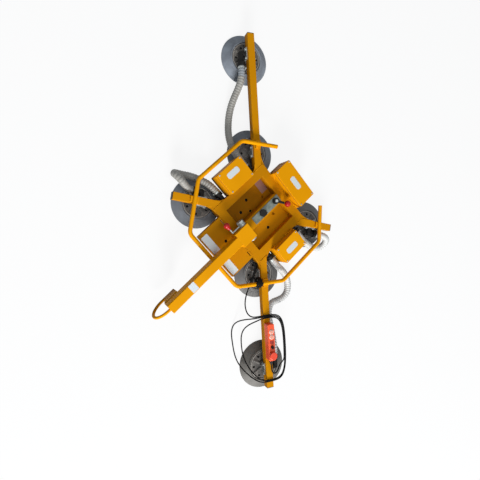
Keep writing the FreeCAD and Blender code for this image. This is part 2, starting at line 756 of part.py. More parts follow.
# Hinge pin with its head on the left and its nut beyond the tilt lever on the right
pin_left = fork_half + side_gap
hub_inner = fork_half + side_gap
hub_outer = hub_inner + tilt_hub_width
pin_right = hub_outer + side_gap
hinge_pin = rod(hinge_pin_diameter, hinge_point - V(0, pin_right + nut_height, 0),
                hinge_point + V(0, pin_left, 0))
hinge_pin = hinge_pin.fuse(rod(hinge_head_diameter, hinge_point + V(0, pin_left, 0),
                               hinge_point + V(0, pin_left + hinge_head_height, 0)))
hinge_nut = hexagon(hinge_head_diameter, nut_height, hinge_point - V(0, pin_right, 0), V(0, -1, 0))
save("hinge_pin", hinge_pin.removeSplitter(), hinge_nut.cut(hinge_bore))

# Tilt lock lever: hub on the hinge pin, round rod along the arm, stem and red knob
tilt_middle = hinge_point - V(0, (hub_inner + hub_outer) / 2, 0)
tilt_end = tilt_middle + V(tilt_rod_reach, 0, 0)
stem_end = tilt_end - V(0, tilt_stem_length, 0)
tilt_lever = rod(tilt_hub_diameter, hinge_point - V(0, hub_inner, 0), hinge_point - V(0, hub_outer, 0))
tilt_lever = tilt_lever.fuse([rod(tilt_rod_diameter, tilt_middle, tilt_end),
                              Part.makeSphere(tilt_rod_diameter / 2, tilt_end),
                              rod(tilt_stem_diameter, tilt_end, stem_end)])
save("tilt_lever", tilt_lever.cut(hinge_bore).removeSplitter())
tilt_ball = Part.makeSphere(tilt_knob / 2, stem_end).fuse(
    Part.makeCone(tilt_neck_diameter / 2, tilt_knob / 2, tilt_neck_length,
                  stem_end + V(0, tilt_neck_length, 0), V(0, -1, 0))).removeSplitter()
save("tilt_knob", tilt_ball.cut(rod(tilt_stem_diameter + running_gap * 2, tilt_end,
                                    stem_end - V(0, running_gap, 0))))

# Root fork: roof, two cheeks round the hinge and a front wall that carries the arm tube
cheeks = []
for side in (-1, 1):
    inner = V(0, side * cheek_inner, 0)
    outer = V(0, side * fork_half, 0)
    cheek = block(hinge_x, fork_front, min(inner.y, outer.y), max(inner.y, outer.y), lift_under, lift_top)
    cheek = cheek.fuse(rod(fork_rear_radius * 2, hinge_point + inner, hinge_point + outer))
    cheeks.append(cheek)
fork = cheeks[0].fuse([cheeks[1],
                       block(hinge_x - fork_roof_rear, fork_front, -fork_half, fork_half,
                             lift_top - fork_roof, lift_top),
                       block(fork_front - fork_front_wall, fork_front, -fork_half, fork_half,
                             lift_under, lift_top)])
save("arm_fork", fork.cut(hinge_bore).removeSplitter())

# Lifting arm tube with its hanger plate, flush with the tube's right side, and the crane loop
lifting_arm = square_tube(fork_front, lift_end, lift_width, lift_under, lift_depth, lift_wall, lift_corner)
end_side = lift_width / 2 - lift_wall
end_wall = block(lift_end - lift_wall, lift_end, -end_side, end_side,
                 lift_under + lift_wall, lift_top - lift_wall)
lifting_arm = lifting_arm.fuse(end_wall).removeSplitter()
save("lifting_arm", lifting_arm)
foot_front = lift_end - hanger_foot_inset
hanger_outline = [V(lift_end, hanger_right, lift_under),
                  V(lift_end - hanger_top_length, hanger_right, lift_under),
                  V(foot_front - hanger_foot_length, hanger_right, hanger_foot),
                  V(foot_front, hanger_right, hanger_foot)]
hanger = Part.Face(Part.makePolygon(hanger_outline + hanger_outline[:1]))
save("hanger_plate", hanger.extrude(V(0, hanger_thickness, 0)))
loop_low = V(foot_front, loop_low_y, loop_low_z)
loop_high = V(lift_end, 0, loop_high_z)
turn_start = V(lift_end + loop_reach, loop_low.y, loop_low.z)
turn_end = V(lift_end + loop_reach, loop_high.y, loop_high.z)
turn_middle = (turn_start + turn_end) / 2 + V(loop_radius, 0, 0)
loop_edges = [Part.LineSegment(loop_low, turn_start).toShape(),
              Part.Arc(turn_start, turn_middle, turn_end).toShape(),
              Part.LineSegment(turn_end, loop_high).toShape()]
crane_loop = round_tube(loop_edges, loop_bar)
hanger_solid = hanger.extrude(V(0, hanger_thickness, 0))
save("crane_loop", crane_loop.cut([hanger_solid, lifting_arm]).Solids[0])

# Suction cups: rubber dish, metal plate with a ball socket, and the carrier with its ball stud
lip_outer = cup_diameter / 2
shoulder = cup_shoulder_diameter / 2
collar = cup_collar_diameter / 2
dish_profile = [V(0, 0, cup_cavity), V(0, 0, cup_plate_seat), V(collar, 0, cup_plate_seat),
                V(collar, 0, cup_collar_height), V(shoulder, 0, cup_collar_height),
                V(shoulder, 0, cup_shoulder_height), V(lip_outer, 0, cup_lip_height), V(lip_outer, 0, 0),
                V(lip_outer - cup_lip_width, 0, 0), V(shoulder, 0, cup_cavity)]
dish = Part.Face(Part.makePolygon(dish_profile + dish_profile[:1])).revolve(ORIGIN, UP, 360)

plate_under = cup_plate_seat
plate_upper = cup_plate_seat + cup_plate_thickness
hub_upper = plate_upper + cup_hub_height
plate_diameter = cup_collar_diameter - loose_gap * 2
cup_plate = rod(plate_diameter, UP * plate_under, UP * plate_upper)
cup_plate = cup_plate.fuse(rod(cup_hub_diameter, UP * plate_upper, UP * hub_upper))
rib_reach = (cup_plate_hole_circle + plate_diameter) / 4
rib_cross = block(-rib_reach, rib_reach, -cup_rib_width / 2, cup_rib_width / 2,
                  plate_upper, plate_upper + cup_rib_height)
rib_step = 360.0 / cup_plate_hole_count
pin_half = V(0, cup_hub_diameter / 2 - cup_plate_thickness / 4, 0)
pin_middle = UP * ball_height
cup_cuts = [Part.makeSphere(ball_diameter / 2 + loose_gap, UP * ball_height),
            rod(cup_pin_diameter + running_gap * 2, pin_middle - pin_half * 2, pin_middle + pin_half * 2),
            Part.makeCone(stud_diameter / 2 + loose_gap, stud_diameter / 2 + stud_swing,
                          hub_upper - ball_height, UP * ball_height)]
for k in range(cup_plate_hole_count // 2):
    cup_plate = cup_plate.fuse(on_arm(rib_cross, rib_step * k))
for k in range(cup_plate_hole_count):
    spot = arm_point(rib_step * (k + 0.5), cup_plate_hole_circle / 2, 0, plate_under - cut_overrun)
    cup_cuts.append(rod(cup_plate_hole, spot, spot + UP * (cup_plate_thickness + cut_overrun * 2)))
cup_plate = cup_plate.cut(cup_cuts).removeSplitter()

carrier_half = arm_half + carrier_cheek
carrier_under = arm_ground_gap - carrier_plate
carrier = block(-carrier_length / 2, carrier_length / 2, -carrier_half, carrier_half,
                carrier_under, arm_ground_gap)
for side in (-1, 1):
    inner_y = side * arm_half
    outer_y = side * carrier_half
    carrier = carrier.fuse(block(-carrier_length / 2, carrier_length / 2, min(inner_y, outer_y),
                                 max(inner_y, outer_y), arm_ground_gap,
                                 arm_ground_gap + carrier_cheek_height))
carrier = carrier.fuse([rod(stud_diameter, UP * ball_height, UP * carrier_under),
                        Part.makeSphere(ball_diameter / 2, UP * ball_height),
                        rod(cup_pin_diameter, pin_middle - pin_half, pin_middle + pin_half)]).removeSplitter()

cup_places = [(REAR_RIGHT, outer_cup_reach), (REAR_RIGHT, inner_cup_reach), (FRONT_RIGHT, inner_cup_reach),
              (FRONT_LEFT, inner_cup_reach), (FRONT_LEFT, outer_cup_reach), (REAR_LEFT, inner_cup_reach)]
carriers = []
for number, (angle, reach) in enumerate(cup_places, 1):
    along = V(reach, 0, 0)
    placed = []
    for piece in (dish, cup_plate, carrier):
        moved = piece.copy()
        moved.translate(along)
        placed.append(on_arm(moved, angle))
    save("cup_dish_%d" % number, placed[0])
    save("cup_plate_%d" % number, placed[1])
    carriers.append(placed[2])
save("cup_carriers", *carriers)

# Hose fittings: straight ports on the base's sides, elbows on the carriers
fittings = []
for x_side in (-1, 1):
    for y_side in (-1, 1):
        foot = V(x_side * port_x, y_side * base_half, port_height)
        neck = foot + V(0, y_side * (port_length - collar_length), 0)
        end = V(foot.x, y_side * port_end_y, port_height)
        fittings.append(rod(port_diameter, foot, neck).fuse(rod(collar_diameter, neck, end)).removeSplitter())
for angle, reach, offset, hose_start in (
        (REAR_RIGHT, outer_cup_reach, elbow_offset, rear_long_route[0][0]),
        (FRONT_RIGHT, inner_cup_reach, -elbow_offset, front_short_route[0][0]),
        (FRONT_LEFT, outer_cup_reach, elbow_offset, front_long_route[0][0]),
        (REAR_LEFT, inner_cup_reach, -elbow_offset, rear_short_route[0][0])):
    turn = arm_point(angle, reach, offset, elbow_height)
    seat = arm_point(angle, reach, math.copysign(carrier_half, offset), elbow_height)
    end = arm_point(angle, hose_start, offset, elbow_height)
    neck = end + (turn - end).normalize() * collar_length
    fittings.append(rod(port_diameter, seat, turn).fuse(
        [Part.makeSphere(port_diameter / 2, turn), rod(port_diameter, turn, neck),
         rod(collar_diameter, neck, end)]).removeSplitter())
save("hose_fittings", *fittings)


def along_route(edges, distance):
    """Point and heading at a distance along a route."""
    for edge in edges:
        if distance <= edge.Length or edge is edges[-1]:
            at = edge.getParameterByLength(min(distance, edge.Length))
            return edge.valueAt(at), edge.tangentAt(at)
        distance -= edge.Length


def hose_circle(point, heading, diameter):
    """Circle square to the route, its seam always on the upper side."""
    side = UP.cross(heading).normalize()
    upright = heading.cross(side)
    frame = FreeCAD.Matrix(upright.x, -side.x, heading.x, point.x, upright.y, -side.y, heading.y, point.y,
                           upright.z, -side.z, heading.z, point.z, 0, 0, 0, 1)
    circle = Part.makeCircle(diameter / 2)
    circle.Placement = FreeCAD.Placement(frame)
    return Part.Wire([circle])


def ribbed_hose(name, angle, route):
    """Hose with a bore and ribs: a ruled loft through four circles for each rib."""
    points = [arm_point(angle, *place) for place in route]
    ahead = arm_point(angle, 1, 0, 0)
    side = math.copysign(1, ahead.y)
    port_end = V(math.copysign(port_x, ahead.x), side * port_end_y, port_height)
    points += [port_end + V(0, side * port_lead, 0), port_end]
    edges = rounded_route(name, points)
    length = sum(e.Length for e in edges)
    ribs = int(length / hose_rib_pitch)
    sections = [(0.0, hose_valley)]
    for k in range(ribs):
        for rib_share, diameter in zip(rib_shares, (hose_valley, hose_diameter, hose_diameter, hose_valley)):
            sections.append((length * (k + rib_share) / ribs, diameter))
    sections.append((length, hose_valley))
    circles = [hose_circle(*along_route(edges, at), diameter) for at, diameter in sections]
    hose = Part.makeLoft(circles, True, True).cut(round_tube(edges, hose_bore))
    print(name, "ribs", ribs)
    save(name, hose.Solids[0])


ribbed_hose("hose_rear_long", REAR_RIGHT, rear_long_route)
ribbed_hose("hose_front_short", FRONT_RIGHT, front_short_route)
ribbed_hose("hose_front_long", FRONT_LEFT, front_long_route)
ribbed_hose("hose_rear_short", REAR_LEFT, rear_short_route)

# Pendant: rounded housing on the arm, with sunk buttons, a selector and a mushroom stop
pendant_end = pendant_start + pendant_length
pendant_top = arm_top + pendant_height
pendant = block(pendant_start, pendant_end, -pendant_width / 2, pendant_width / 2, arm_top, pendant_top)
pendant = rounded(rounded(pendant, pendant_round, UP), pendant_round / 2, V(1, 0, 0))
sink = button_depth + loose_gap
pockets = []
for at, diameter in ((grip_button_at, button_diameter), (release_button_at, button_diameter),
                     (selector_at, selector_stem), (stop_at, stop_stem)):
    spot = V(pendant_start + at, 0, pendant_top)
    pockets.append(rod(diameter + loose_gap * 2, spot - UP * sink * 2, spot + UP * cut_overrun))
save("pendant", on_arm(pendant.cut(pockets), FRONT_LEFT))
for name, at in (("grip_button", grip_button_at), ("release_button", release_button_at)):
    spot = V(pendant_start + at, 0, pendant_top)
    button = rod(button_diameter, spot - UP * button_depth, spot + UP * button_rise)
    button = button.makeFillet(button_rise / 3, [e for e in button.Edges if e.BoundBox.ZMin > pendant_top])
    save(name, on_arm(button, FRONT_LEFT))
spot = V(pendant_start + selector_at, 0, pendant_top)
selector = rod(selector_diameter, spot + UP * loose_gap, spot + UP * selector_rise)
selector = selector.fuse(rod(selector_stem, spot - UP * button_depth, spot + UP * selector_rise))
selector = selector.fuse(block(spot.x - selector_diameter / 2, spot.x + selector_diameter / 2,
                               -selector_diameter / 6, selector_diameter / 6, pendant_top + selector_rise,
                               pendant_top + selector_rise + button_rise))
save("selector_knob", on_arm(selector.removeSplitter(), FRONT_LEFT))
spot = V(pendant_start + stop_at, 0, pendant_top)
cap_under = spot + UP * stop_travel_gap
stop = rod(stop_diameter, cap_under, cap_under + UP * stop_height)
stop = stop.makeFillet(stop_height / 3, [e for e in stop.Edges
                                         if e.BoundBox.ZMin > cap_under.z + stop_height / 2])
stop = stop.fuse(rod(stop_stem, spot - UP * button_depth, cap_under)).removeSplitter()
save("stop_button", on_arm(stop, FRONT_LEFT))

# Cable glands: one on the side of the front panel, one on the end of the pendant
panel_foot = V(gland_x, panel_half, gland_height)
pendant_middle = arm_top + pendant_height / 2
pendant_foot = arm_point(FRONT_LEFT, pendant_end, 0, pendant_middle)
pendant_gland_end = arm_point(FRONT_LEFT, pendant_end + gland_length, 0, pendant_middle)
glands = []
for foot, end in ((panel_foot, panel_foot + V(0, gland_length, 0)), (pendant_foot, pendant_gland_end)):
    heading = end - foot
    neck = foot + heading / 3
    cone = Part.makeCone(gland_diameter / 2, cable_diameter * 0.7, (end - neck).Length, neck, heading)
    glands.append(hexagon(gland_diameter, (neck - foot).Length, foot, heading).fuse(cone).removeSplitter())
save("cable_glands", *glands)


def signed_power(value, power):
    return math.copysign(abs(value) ** power, value)


def hank_place(turn):
    """Place on the hank: square-cornered loops that shrink inwards and climb over the arm."""
    angle = 2 * math.pi * turn
    right = math.sin(angle) > 0
    if right:
        offset = (hank_right_reach - hank_pitch * turn) * signed_power(math.sin(angle), hank_right_square)
    else:
        reach = (hank_left_reach - hank_left_pitch * turn) * (1 + hank_left_lean_share * math.cos(angle))
        offset = reach * signed_power(math.sin(angle), hank_square)
    half = hank_half_length - hank_pitch * turn
    along = hank_middle - half * signed_power(math.cos(angle), hank_square)
    low = hank_right_height if right else cable_diameter / 2 + hank_rest_gap
    high = arm_top + cable_diameter / 2 + hank_rest_gap
    fall = min(max((abs(offset) - hank_near) / (hank_far - hank_near), 0), 1)
    ease = fall * fall * (3 - 2 * fall)
    return along, offset, high + (low - high) * ease


def biarcs(points, headings):
    """Two tangent arcs between each pair of points."""
    edges = []
    for start, end, leave, arrive in zip(points, points[1:], headings, headings[1:]):
        chord = end - start
        both = leave + arrive
        spread = 2 * (1 - leave.dot(arrive))
        across = chord.dot(both)
        if spread < 1e-9:
            step = chord.Length / 4
        else:
            step = (math.sqrt(across ** 2 + spread * chord.dot(chord)) - across) / spread
        first = start + leave * step
        second = end - arrive * step
        joint = (first + second) / 2
        for a, corner, b in ((start, first, joint), (joint, second, end)):
            straight = (corner - a).getAngle(b - corner) < 1e-5
            edges.append(Part.LineSegment(a, b).toShape() if straight else arc_from(a, corner, b))
    return edges


# Pendant cable: a lead of runs and arcs, then the hank as one unbroken tube to the pendant's gland
steps = round((hank_end_turn - hank_start_turn) * hank_steps)
turns = [hank_start_turn + (hank_end_turn - hank_start_turn) * k / steps for k in range(steps + 1)]
hank_points = [arm_point(FRONT_LEFT, *hank_place(turn)) for turn in turns]
hank_points += [arm_point(FRONT_LEFT, *place) for place in hank_tail]
end_straight = pendant_gland_end + (pendant_gland_end - pendant_foot).normalize() * cable_diameter
hank_points.append(end_straight)
headings = [(b - a).normalize() for a, b in zip(hank_points, hank_points[2:])]
headings.insert(0, (hank_points[1] - hank_points[0]).normalize())
headings.append((pendant_foot - pendant_gland_end).normalize())
hank_start = hank_points[0] - headings[0] * cable_diameter
hank_edges = [Part.LineSegment(hank_start, hank_points[0]).toShape()]
hank_edges += biarcs(hank_points, headings)
hank_edges.append(Part.LineSegment(end_straight, pendant_gland_end).toShape())
cable_hank = round_tube(hank_edges, cable_diameter)
check_tube("cable_hank", cable_hank, hank_edges, cable_diameter)
print("cable_hank length", round(sum(e.Length for e in hank_edges)),
      "tightest bend", round(min(e.Curve.Radius for e in hank_edges if hasattr(e.Curve, "Radius")), 1))
samples = []
travelled = 0.0
for edge in hank_edges:
    for k in range(max(int(edge.Length / self_gap_step), 1)):
        distance = edge.Length * k / max(int(edge.Length / self_gap_step), 1)
        samples.append((travelled + distance, edge.valueAt(edge.getParameterByLength(distance))))
    travelled += edge.Length
least = min((q - p).Length for i, (a, p) in enumerate(samples)
            for b, q in samples[i + 1:] if b - a > self_gap_reach)
print("cable_hank least gap to itself", round(least - cable_diameter, 2))
across_arm = UP.cross(arm_heading)
least = min(math.hypot(max(abs(p.dot(across_arm)) - arm_half, 0), max(p.z - arm_top, 0)) for _, p in samples)
print("cable_hank least gap to the arm", round(least - cable_diameter / 2, 2))
save("cable_hank", cable_hank)

lead_points = [V(gland_x, gland_end_y, gland_height)]
lead_points += [arm_point(FRONT_LEFT, *place) for place in lead_route]
lead_points.append(hank_start - headings[0] * lead_last_run)
lead_points.append(hank_start)
lead_edges = rounded_route("cable_lead", lead_points)
cable_lead = round_tube(lead_edges, cable_diameter)
check_tube("cable_lead", cable_lead, lead_edges, cable_diameter)
print("hank start heading", [round(c, 3) for c in headings[0]],
      "lead end heading", [round(c, 3) for c in (lead_points[-1] - lead_points[-2]).normalize()],
      "hank start reach offset height", [round(c, 1) for c in (
          hank_start.dot(arm_heading), hank_start.dot(UP.cross(arm_heading)), hank_start.z)])
save("cable_lead", cable_lead)
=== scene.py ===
import math

import bmesh
import bpy
from mathutils import Matrix, Vector


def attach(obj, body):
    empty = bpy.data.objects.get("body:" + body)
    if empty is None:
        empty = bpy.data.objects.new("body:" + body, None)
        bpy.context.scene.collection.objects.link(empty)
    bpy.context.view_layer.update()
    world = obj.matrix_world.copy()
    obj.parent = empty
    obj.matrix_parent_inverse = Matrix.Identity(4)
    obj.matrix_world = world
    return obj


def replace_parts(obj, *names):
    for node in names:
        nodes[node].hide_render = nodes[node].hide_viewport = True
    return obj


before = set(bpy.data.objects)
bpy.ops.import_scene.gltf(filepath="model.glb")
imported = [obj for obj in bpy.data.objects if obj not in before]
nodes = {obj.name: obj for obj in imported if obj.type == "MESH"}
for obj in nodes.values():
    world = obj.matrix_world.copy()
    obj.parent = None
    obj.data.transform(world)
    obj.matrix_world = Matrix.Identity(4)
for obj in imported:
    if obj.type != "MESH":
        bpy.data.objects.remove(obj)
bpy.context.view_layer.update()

# Camera of the photograph, high over the front right corner, with the lifting arm towards the lower left.
# The part's X axis starts at the middle of its footprint, and the head's pivot stands at pivot_x on it.
pivot_x = -0.052427
view = bpy.data.cameras.new("photo_camera")
view.lens = 26.669
view.sensor_width = 36
view.clip_end = 100
camera = bpy.data.objects.new("photo_camera", view)
right = Vector((-0.68309, 0.61994, 0.38608))
up = Vector((-0.67563, -0.73715, -0.01173))
back = Vector((0.27733, -0.26886, 0.92239))
camera.matrix_world = Matrix.Translation((0.7267 + pivot_x, -0.4936, 1.8875)) @ Matrix((
    right, up, back)).transposed().to_4x4()
bpy.context.scene.collection.objects.link(camera)
bpy.context.scene.camera = camera
bpy.context.scene.view_settings.view_transform = "Standard"


# Floor, plain and pale, and soft studio light. The large lamp stands low beyond the front left corner, so
# that sides towards it are brighter than the tops and the far sides stay in shade.
class Value:
    """A shader socket that takes part in sums."""

    def __init__(self, finish, socket):
        self.finish = finish
        self.socket = socket

    def math(self, operation, a, b):
        return self.finish.node("ShaderNodeMath", {"operation": operation}, {0: a, 1: b})

    def __add__(self, other):
        return self.math("ADD", self, other)

    def __sub__(self, other):
        return self.math("SUBTRACT", self, other)

    def __rsub__(self, other):
        return self.math("SUBTRACT", other, self)

    def __mul__(self, other):
        return self.math("MULTIPLY", self, other)

    __radd__ = __add__
    __rmul__ = __mul__


class Finish:
    """A material that is written as expressions on its own surface shader."""

    def __init__(self, name):
        self.material = bpy.data.materials.new(name)
        self.material.use_nodes = True
        self.tree = self.material.node_tree
        self.surface = self.tree.nodes["Principled BSDF"]
        self.place = self.node("ShaderNodeTexCoord", {}, {}, "Object")

    def node(self, kind, settings, sockets, out=0):
        made = self.tree.nodes.new(kind)
        for key, value in settings.items():
            setattr(made, key, value)
        for key, value in sockets.items():
            self.link(made.inputs[key], value)
        return Value(self, made.outputs[out])

    def link(self, socket, value):
        if isinstance(value, Value):
            self.tree.links.new(value.socket, socket)
        else:
            socket.default_value = value

    def set(self, **sockets):
        for key, value in sockets.items():
            self.link(self.surface.inputs[key.replace("_", " ")], value)

    def noise(self, scale, detail=3.0, roughness=0.55):
        return self.node("ShaderNodeTexNoise", {}, {
            "Vector": self.place, "Scale": scale, "Detail": detail, "Roughness": roughness})

    def step(self, value, low, high):
        """Ramp from 0 at low to 1 at high."""
        return self.node("ShaderNodeMapRange", {"interpolation_type": "SMOOTHSTEP"}, {
            "Value": value, "From Min": low, "From Max": high})

    def mix(self, share, first, second):
        return self.node("ShaderNodeMix", {"data_type": "RGBA"}, {
            "Factor": share, 6: first, 7: second}, 2)

    def soft_edges(self, radius):
        """Surface direction with the edges rounded off, and a mask of those edges."""
        eased = self.node("ShaderNodeBevel", {"samples": 4}, {"Radius": radius})
        flat = self.node("ShaderNodeNewGeometry", {}, {}, "Normal")
        agree = self.node("ShaderNodeVectorMath", {"operation": "DOT_PRODUCT"}, {0: eased, 1: flat}, "Value")
        return eased, 1 - self.step(agree, 0.9, 0.995)

    def bump(self, height, depth, base=None):
        sockets = {"Height": height, "Distance": depth}
        if base:
            sockets["Normal"] = base
        return self.node("ShaderNodeBump", {}, sockets)


def ink(code):
    """Linear colour of a six digit screen colour."""
    parts = [int(code[k:k + 2], 16) / 255 for k in (0, 2, 4)]
    return tuple(p / 12.92 if p < 0.04045 else ((p + 0.055) / 1.055) ** 2.4 for p in parts) + (1.0,)


floor_mesh = bmesh.new()
bmesh.ops.create_grid(floor_mesh, x_segments=1, y_segments=1, size=30)
floor_data = bpy.data.meshes.new("studio_floor")
floor_mesh.to_mesh(floor_data)
floor_mesh.free()
floor = bpy.data.objects.new("studio_floor", floor_data)
floor.location.z = -0.0005
bpy.context.scene.collection.objects.link(floor)
pale = Finish("pale_floor")
pale.set(Base_Color=(0.3, 0.3, 0.3, 1), Roughness=0.9)
seen = pale.node("ShaderNodeLightPath", {}, {}, "Is Camera Ray")
mirrored = pale.node("ShaderNodeLightPath", {}, {}, "Is Glossy Ray")
through = pale.node("ShaderNodeLightPath", {}, {}, "Is Transmission Ray")
white = pale.node("ShaderNodeEmission", {}, {"Color": (1, 1, 1, 1), "Strength": 1.0})
shaded = pale.node("ShaderNodeBsdfDiffuse", {}, {"Color": (0.8, 0.8, 0.8, 1)})
backdrop_look = pale.node("ShaderNodeMixShader", {}, {0: 0.87, 1: shaded, 2: white})
floor_look = pale.node("ShaderNodeMixShader", {}, {
    0: seen + mirrored + through, 1: Value(pale, pale.surface.outputs[0]), 2: backdrop_look})
pale.tree.links.new(floor_look.socket, pale.tree.nodes["Material Output"].inputs["Surface"])
floor_data.materials.append(pale.material)

world = bpy.data.worlds.new("studio_air")
world.use_nodes = True
air = world.node_tree
air.nodes["Background"].inputs["Color"].default_value = (0.82, 0.91, 1, 1)
air.nodes["Background"].inputs["Strength"].default_value = 0.3
backdrop = air.nodes.new("ShaderNodeBackground")
backdrop.inputs["Color"].default_value = (0.96, 0.96, 0.96, 1)
rays = air.nodes.new("ShaderNodeLightPath")
seen_or_mirrored = air.nodes.new("ShaderNodeMath")
air.links.new(rays.outputs["Is Camera Ray"], seen_or_mirrored.inputs[0])
air.links.new(rays.outputs["Is Glossy Ray"], seen_or_mirrored.inputs[1])
shown = air.nodes.new("ShaderNodeMath")
air.links.new(seen_or_mirrored.outputs[0], shown.inputs[0])
air.links.new(rays.outputs["Is Transmission Ray"], shown.inputs[1])
seen_air = air.nodes.new("ShaderNodeMixShader")
air.links.new(shown.outputs[0], seen_air.inputs[0])
air.links.new(air.nodes["Background"].outputs[0], seen_air.inputs[1])
air.links.new(backdrop.outputs[0], seen_air.inputs[2])
air.links.new(seen_air.outputs[0], air.nodes["World Output"].inputs["Surface"])
bpy.context.scene.world = world


def lamp(name, place, aim, size, power):
    light = bpy.data.lights.new(name, "AREA")
    light.size = size
    light.energy = power
    stand = bpy.data.objects.new(name, light)
    stand.location = place
    stand.rotation_euler = (Vector(aim) - Vector(place)).to_track_quat("-Z", "Y").to_euler()
    bpy.context.scene.collection.objects.link(stand)


lamp("key_lamp", (7.2, 5.8, 4.5), (0, 0, 0.1), 3.4, 1410)
lamp("top_lamp", (0.6, 0.8, 7), (0, 0, 0.1), 4.0, 120)


# Base: a square frame of folded channel with its gussets, a floor plate and a front panel. Welded steel
# under yellow powder coat, which has a slight orange peel, scuffs and chipped edges. Painted shade browns the
# coat towards the bottom, and its edges are paler from rubbed wear and a painted highlight.
def powder_coat(name, shade_top_height, least_shade):
    """Yellow coat with painted shade browning it towards the glass, up to a height where little of it is left, and
    paler edges of rubbed wear and painted highlight.
    """
    finish = Finish(name)
    edges, worn_and_highlit_edges = finish.soft_edges(0.0016)
    height = finish.node("ShaderNodeSeparateXYZ", {}, {0: finish.place}, "Z")
    # Painted light: the low surfaces towards +Y lose part of the painted shade, lightening the floor where the lamp's
    # shadow falls.
    painted_light_side = finish.step(finish.node("ShaderNodeSeparateXYZ", {}, {0: finish.place}, "Y"), -0.03, 0.1)
    # Painted shade: the coat browns towards the bottom, up to the given height.
    painted_shade = 1 - finish.step(height, 0.06, shade_top_height) * (1 - least_shade)
    painted_shade = painted_shade * (1 - painted_light_side * (1 - finish.step(height, 0.07, 0.1)) * 0.45)
    drift = finish.step(finish.noise(3.5, 2.0), 0.3, 0.7)
    chips = finish.step(finish.noise(160.0, 4.0, 0.7), 0.56, 0.64) * worn_and_highlit_edges
    scuffs = finish.step(finish.noise(48.0, 6.0, 0.7), 0.64, 0.78)
    yellow = finish.mix(drift, ink("DB9205"), ink("E69B08"))
    # The painted shade mixes in dark brown, in blotches.
    yellow = finish.mix(painted_shade * (0.5 + finish.noise(7.0, 4.0) * 0.5), yellow, ink("764504"))
    # Paler edges: rubbed wear and a painted highlight.
    yellow = finish.mix(worn_and_highlit_edges * 0.5, yellow, ink("F2B62E"))
    yellow = finish.mix(scuffs * 0.3, yellow, ink("9A640F"))
    yellow = finish.mix(chips * 0.8, yellow, ink("5B4630"))
    finish.set(Base_Color=yellow, Roughness=0.4 + scuffs * 0.25 + drift * 0.06 + chips * 0.2,
               Specular_IOR_Level=0.03, Normal=finish.bump(finish.noise(700.0, 2.0), 0.00005, edges))
    return finish


# The base's coat keeps at least half of the painted shade at every height.
base_coat = powder_coat("base_powder_coat", 0.12, 0.5)
coat = powder_coat("yellow_powder_coat", 0.15, 0.0)


def dress(finish, *names):
    """Give CAD nodes a finish in place of their plain one."""
    for name in names:
        slots = nodes[name].data.materials
        slots.clear()
        slots.append(finish.material)


dress(base_coat, "base_frame", "base_floor", "front_panel")


def new_piece(name, mesh, finish, body, smooth=True):
    """Object from a finished mesh, riding on a body."""
    bmesh.ops.remove_doubles(mesh, verts=mesh.verts, dist=1e-6)
    bmesh.ops.recalc_face_normals(mesh, faces=mesh.faces)
    data = bpy.data.meshes.new(name)
    mesh.to_mesh(data)
    mesh.free()
    for face in data.polygons:
        face.use_smooth = smooth
    data.materials.append(finish.material)
    piece = bpy.data.objects.new(name, data)
    bpy.context.scene.collection.objects.link(piece)
    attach(piece, body)
    return piece


def spot(x, y, z):
    """A point by its millimetres from the pivot."""
    return Vector((x / 1000 + pivot_x, y / 1000, z / 1000))


def arm_point(angle, reach, offset, height):
    """A point by its reach along an arm, its offset to the arm's left and its height, in millimetres."""
    a = math.radians(angle)
    return spot(reach * math.cos(a) - offset * math.sin(a), reach * math.sin(a) + offset * math.cos(a), height)


def weld(mesh, start, end, size=0.0024):
    """Run of weld ripples between two points."""
    run = end - start
    ripples = max(round(run.length / size / 0.7), 2)
    turn = run.to_track_quat("Z", "Y").to_matrix().to_4x4()
    ring = bmesh.ops.create_circle(mesh, cap_ends=True, segments=8, radius=size * 0.8,
                                   matrix=Matrix.Translation(start) @ turn)["verts"]
    tip = ring[0].link_faces[0]
    for k in range(ripples):
        grown = bmesh.ops.extrude_face_region(mesh, geom=[tip])["geom"]
        tip = [g for g in grown if isinstance(g, bmesh.types.BMFace)][0]
        bmesh.ops.translate(mesh, verts=tip.verts, vec=run / ripples)
        swell = 1.25 if k % 2 == 0 else 0.8
        bmesh.ops.scale(mesh, verts=tip.verts, vec=(swell, swell, swell),
                        space=Matrix.Translation(-tip.calc_center_median()))


front_left = 51.4
front_right = -51.4
rear_left = 180 - 51.4
rear_right = 180 + 51.4
base_welds = bmesh.new()
for side_x in (1, -1):
    for side_y in (1, -1):
        corner = [spot(side_x * x, side_y * y, z) for x, y, z in (
            (130, 195.5, 110), (181.4, 195.5, 110), (130, 195.5, 76), (181.4, 195.5, 76))]
        weld(base_welds, corner[0], corner[1])
        weld(base_welds, corner[0], corner[2])
        weld(base_welds, corner[1], corner[3])
        angle = math.degrees(math.atan2(side_y * 0.78152, side_x * 0.62388))
        hand = side_x * side_y
        weld(base_welds, arm_point(angle, 234, hand * 20, 107.8), arm_point(angle, 272, hand * 20, 107.8))
        weld(base_welds, arm_point(angle, 266, hand * -20, 107.8), arm_point(angle, 343, hand * -20, 107.8))
for y in (-120, -60, 60, 120):
    weld(base_welds, spot(195, y - 14, 110), spot(195, y + 14, 110))
for x in (-70, 0, 66):
    weld(base_welds, spot(x - 12, -195, 110.6), spot(x + 12, -195, 110.6))
    weld(base_welds, spot(x - 12, 195, 110.6), spot(x + 12, 195, 110.6))
for y in (-95, -32, 32, 95):
    weld(base_welds, spot(-195, y - 12, 110.6), spot(-195, y + 12, 110.6))
new_piece("base_welds", base_welds, base_coat, "base")

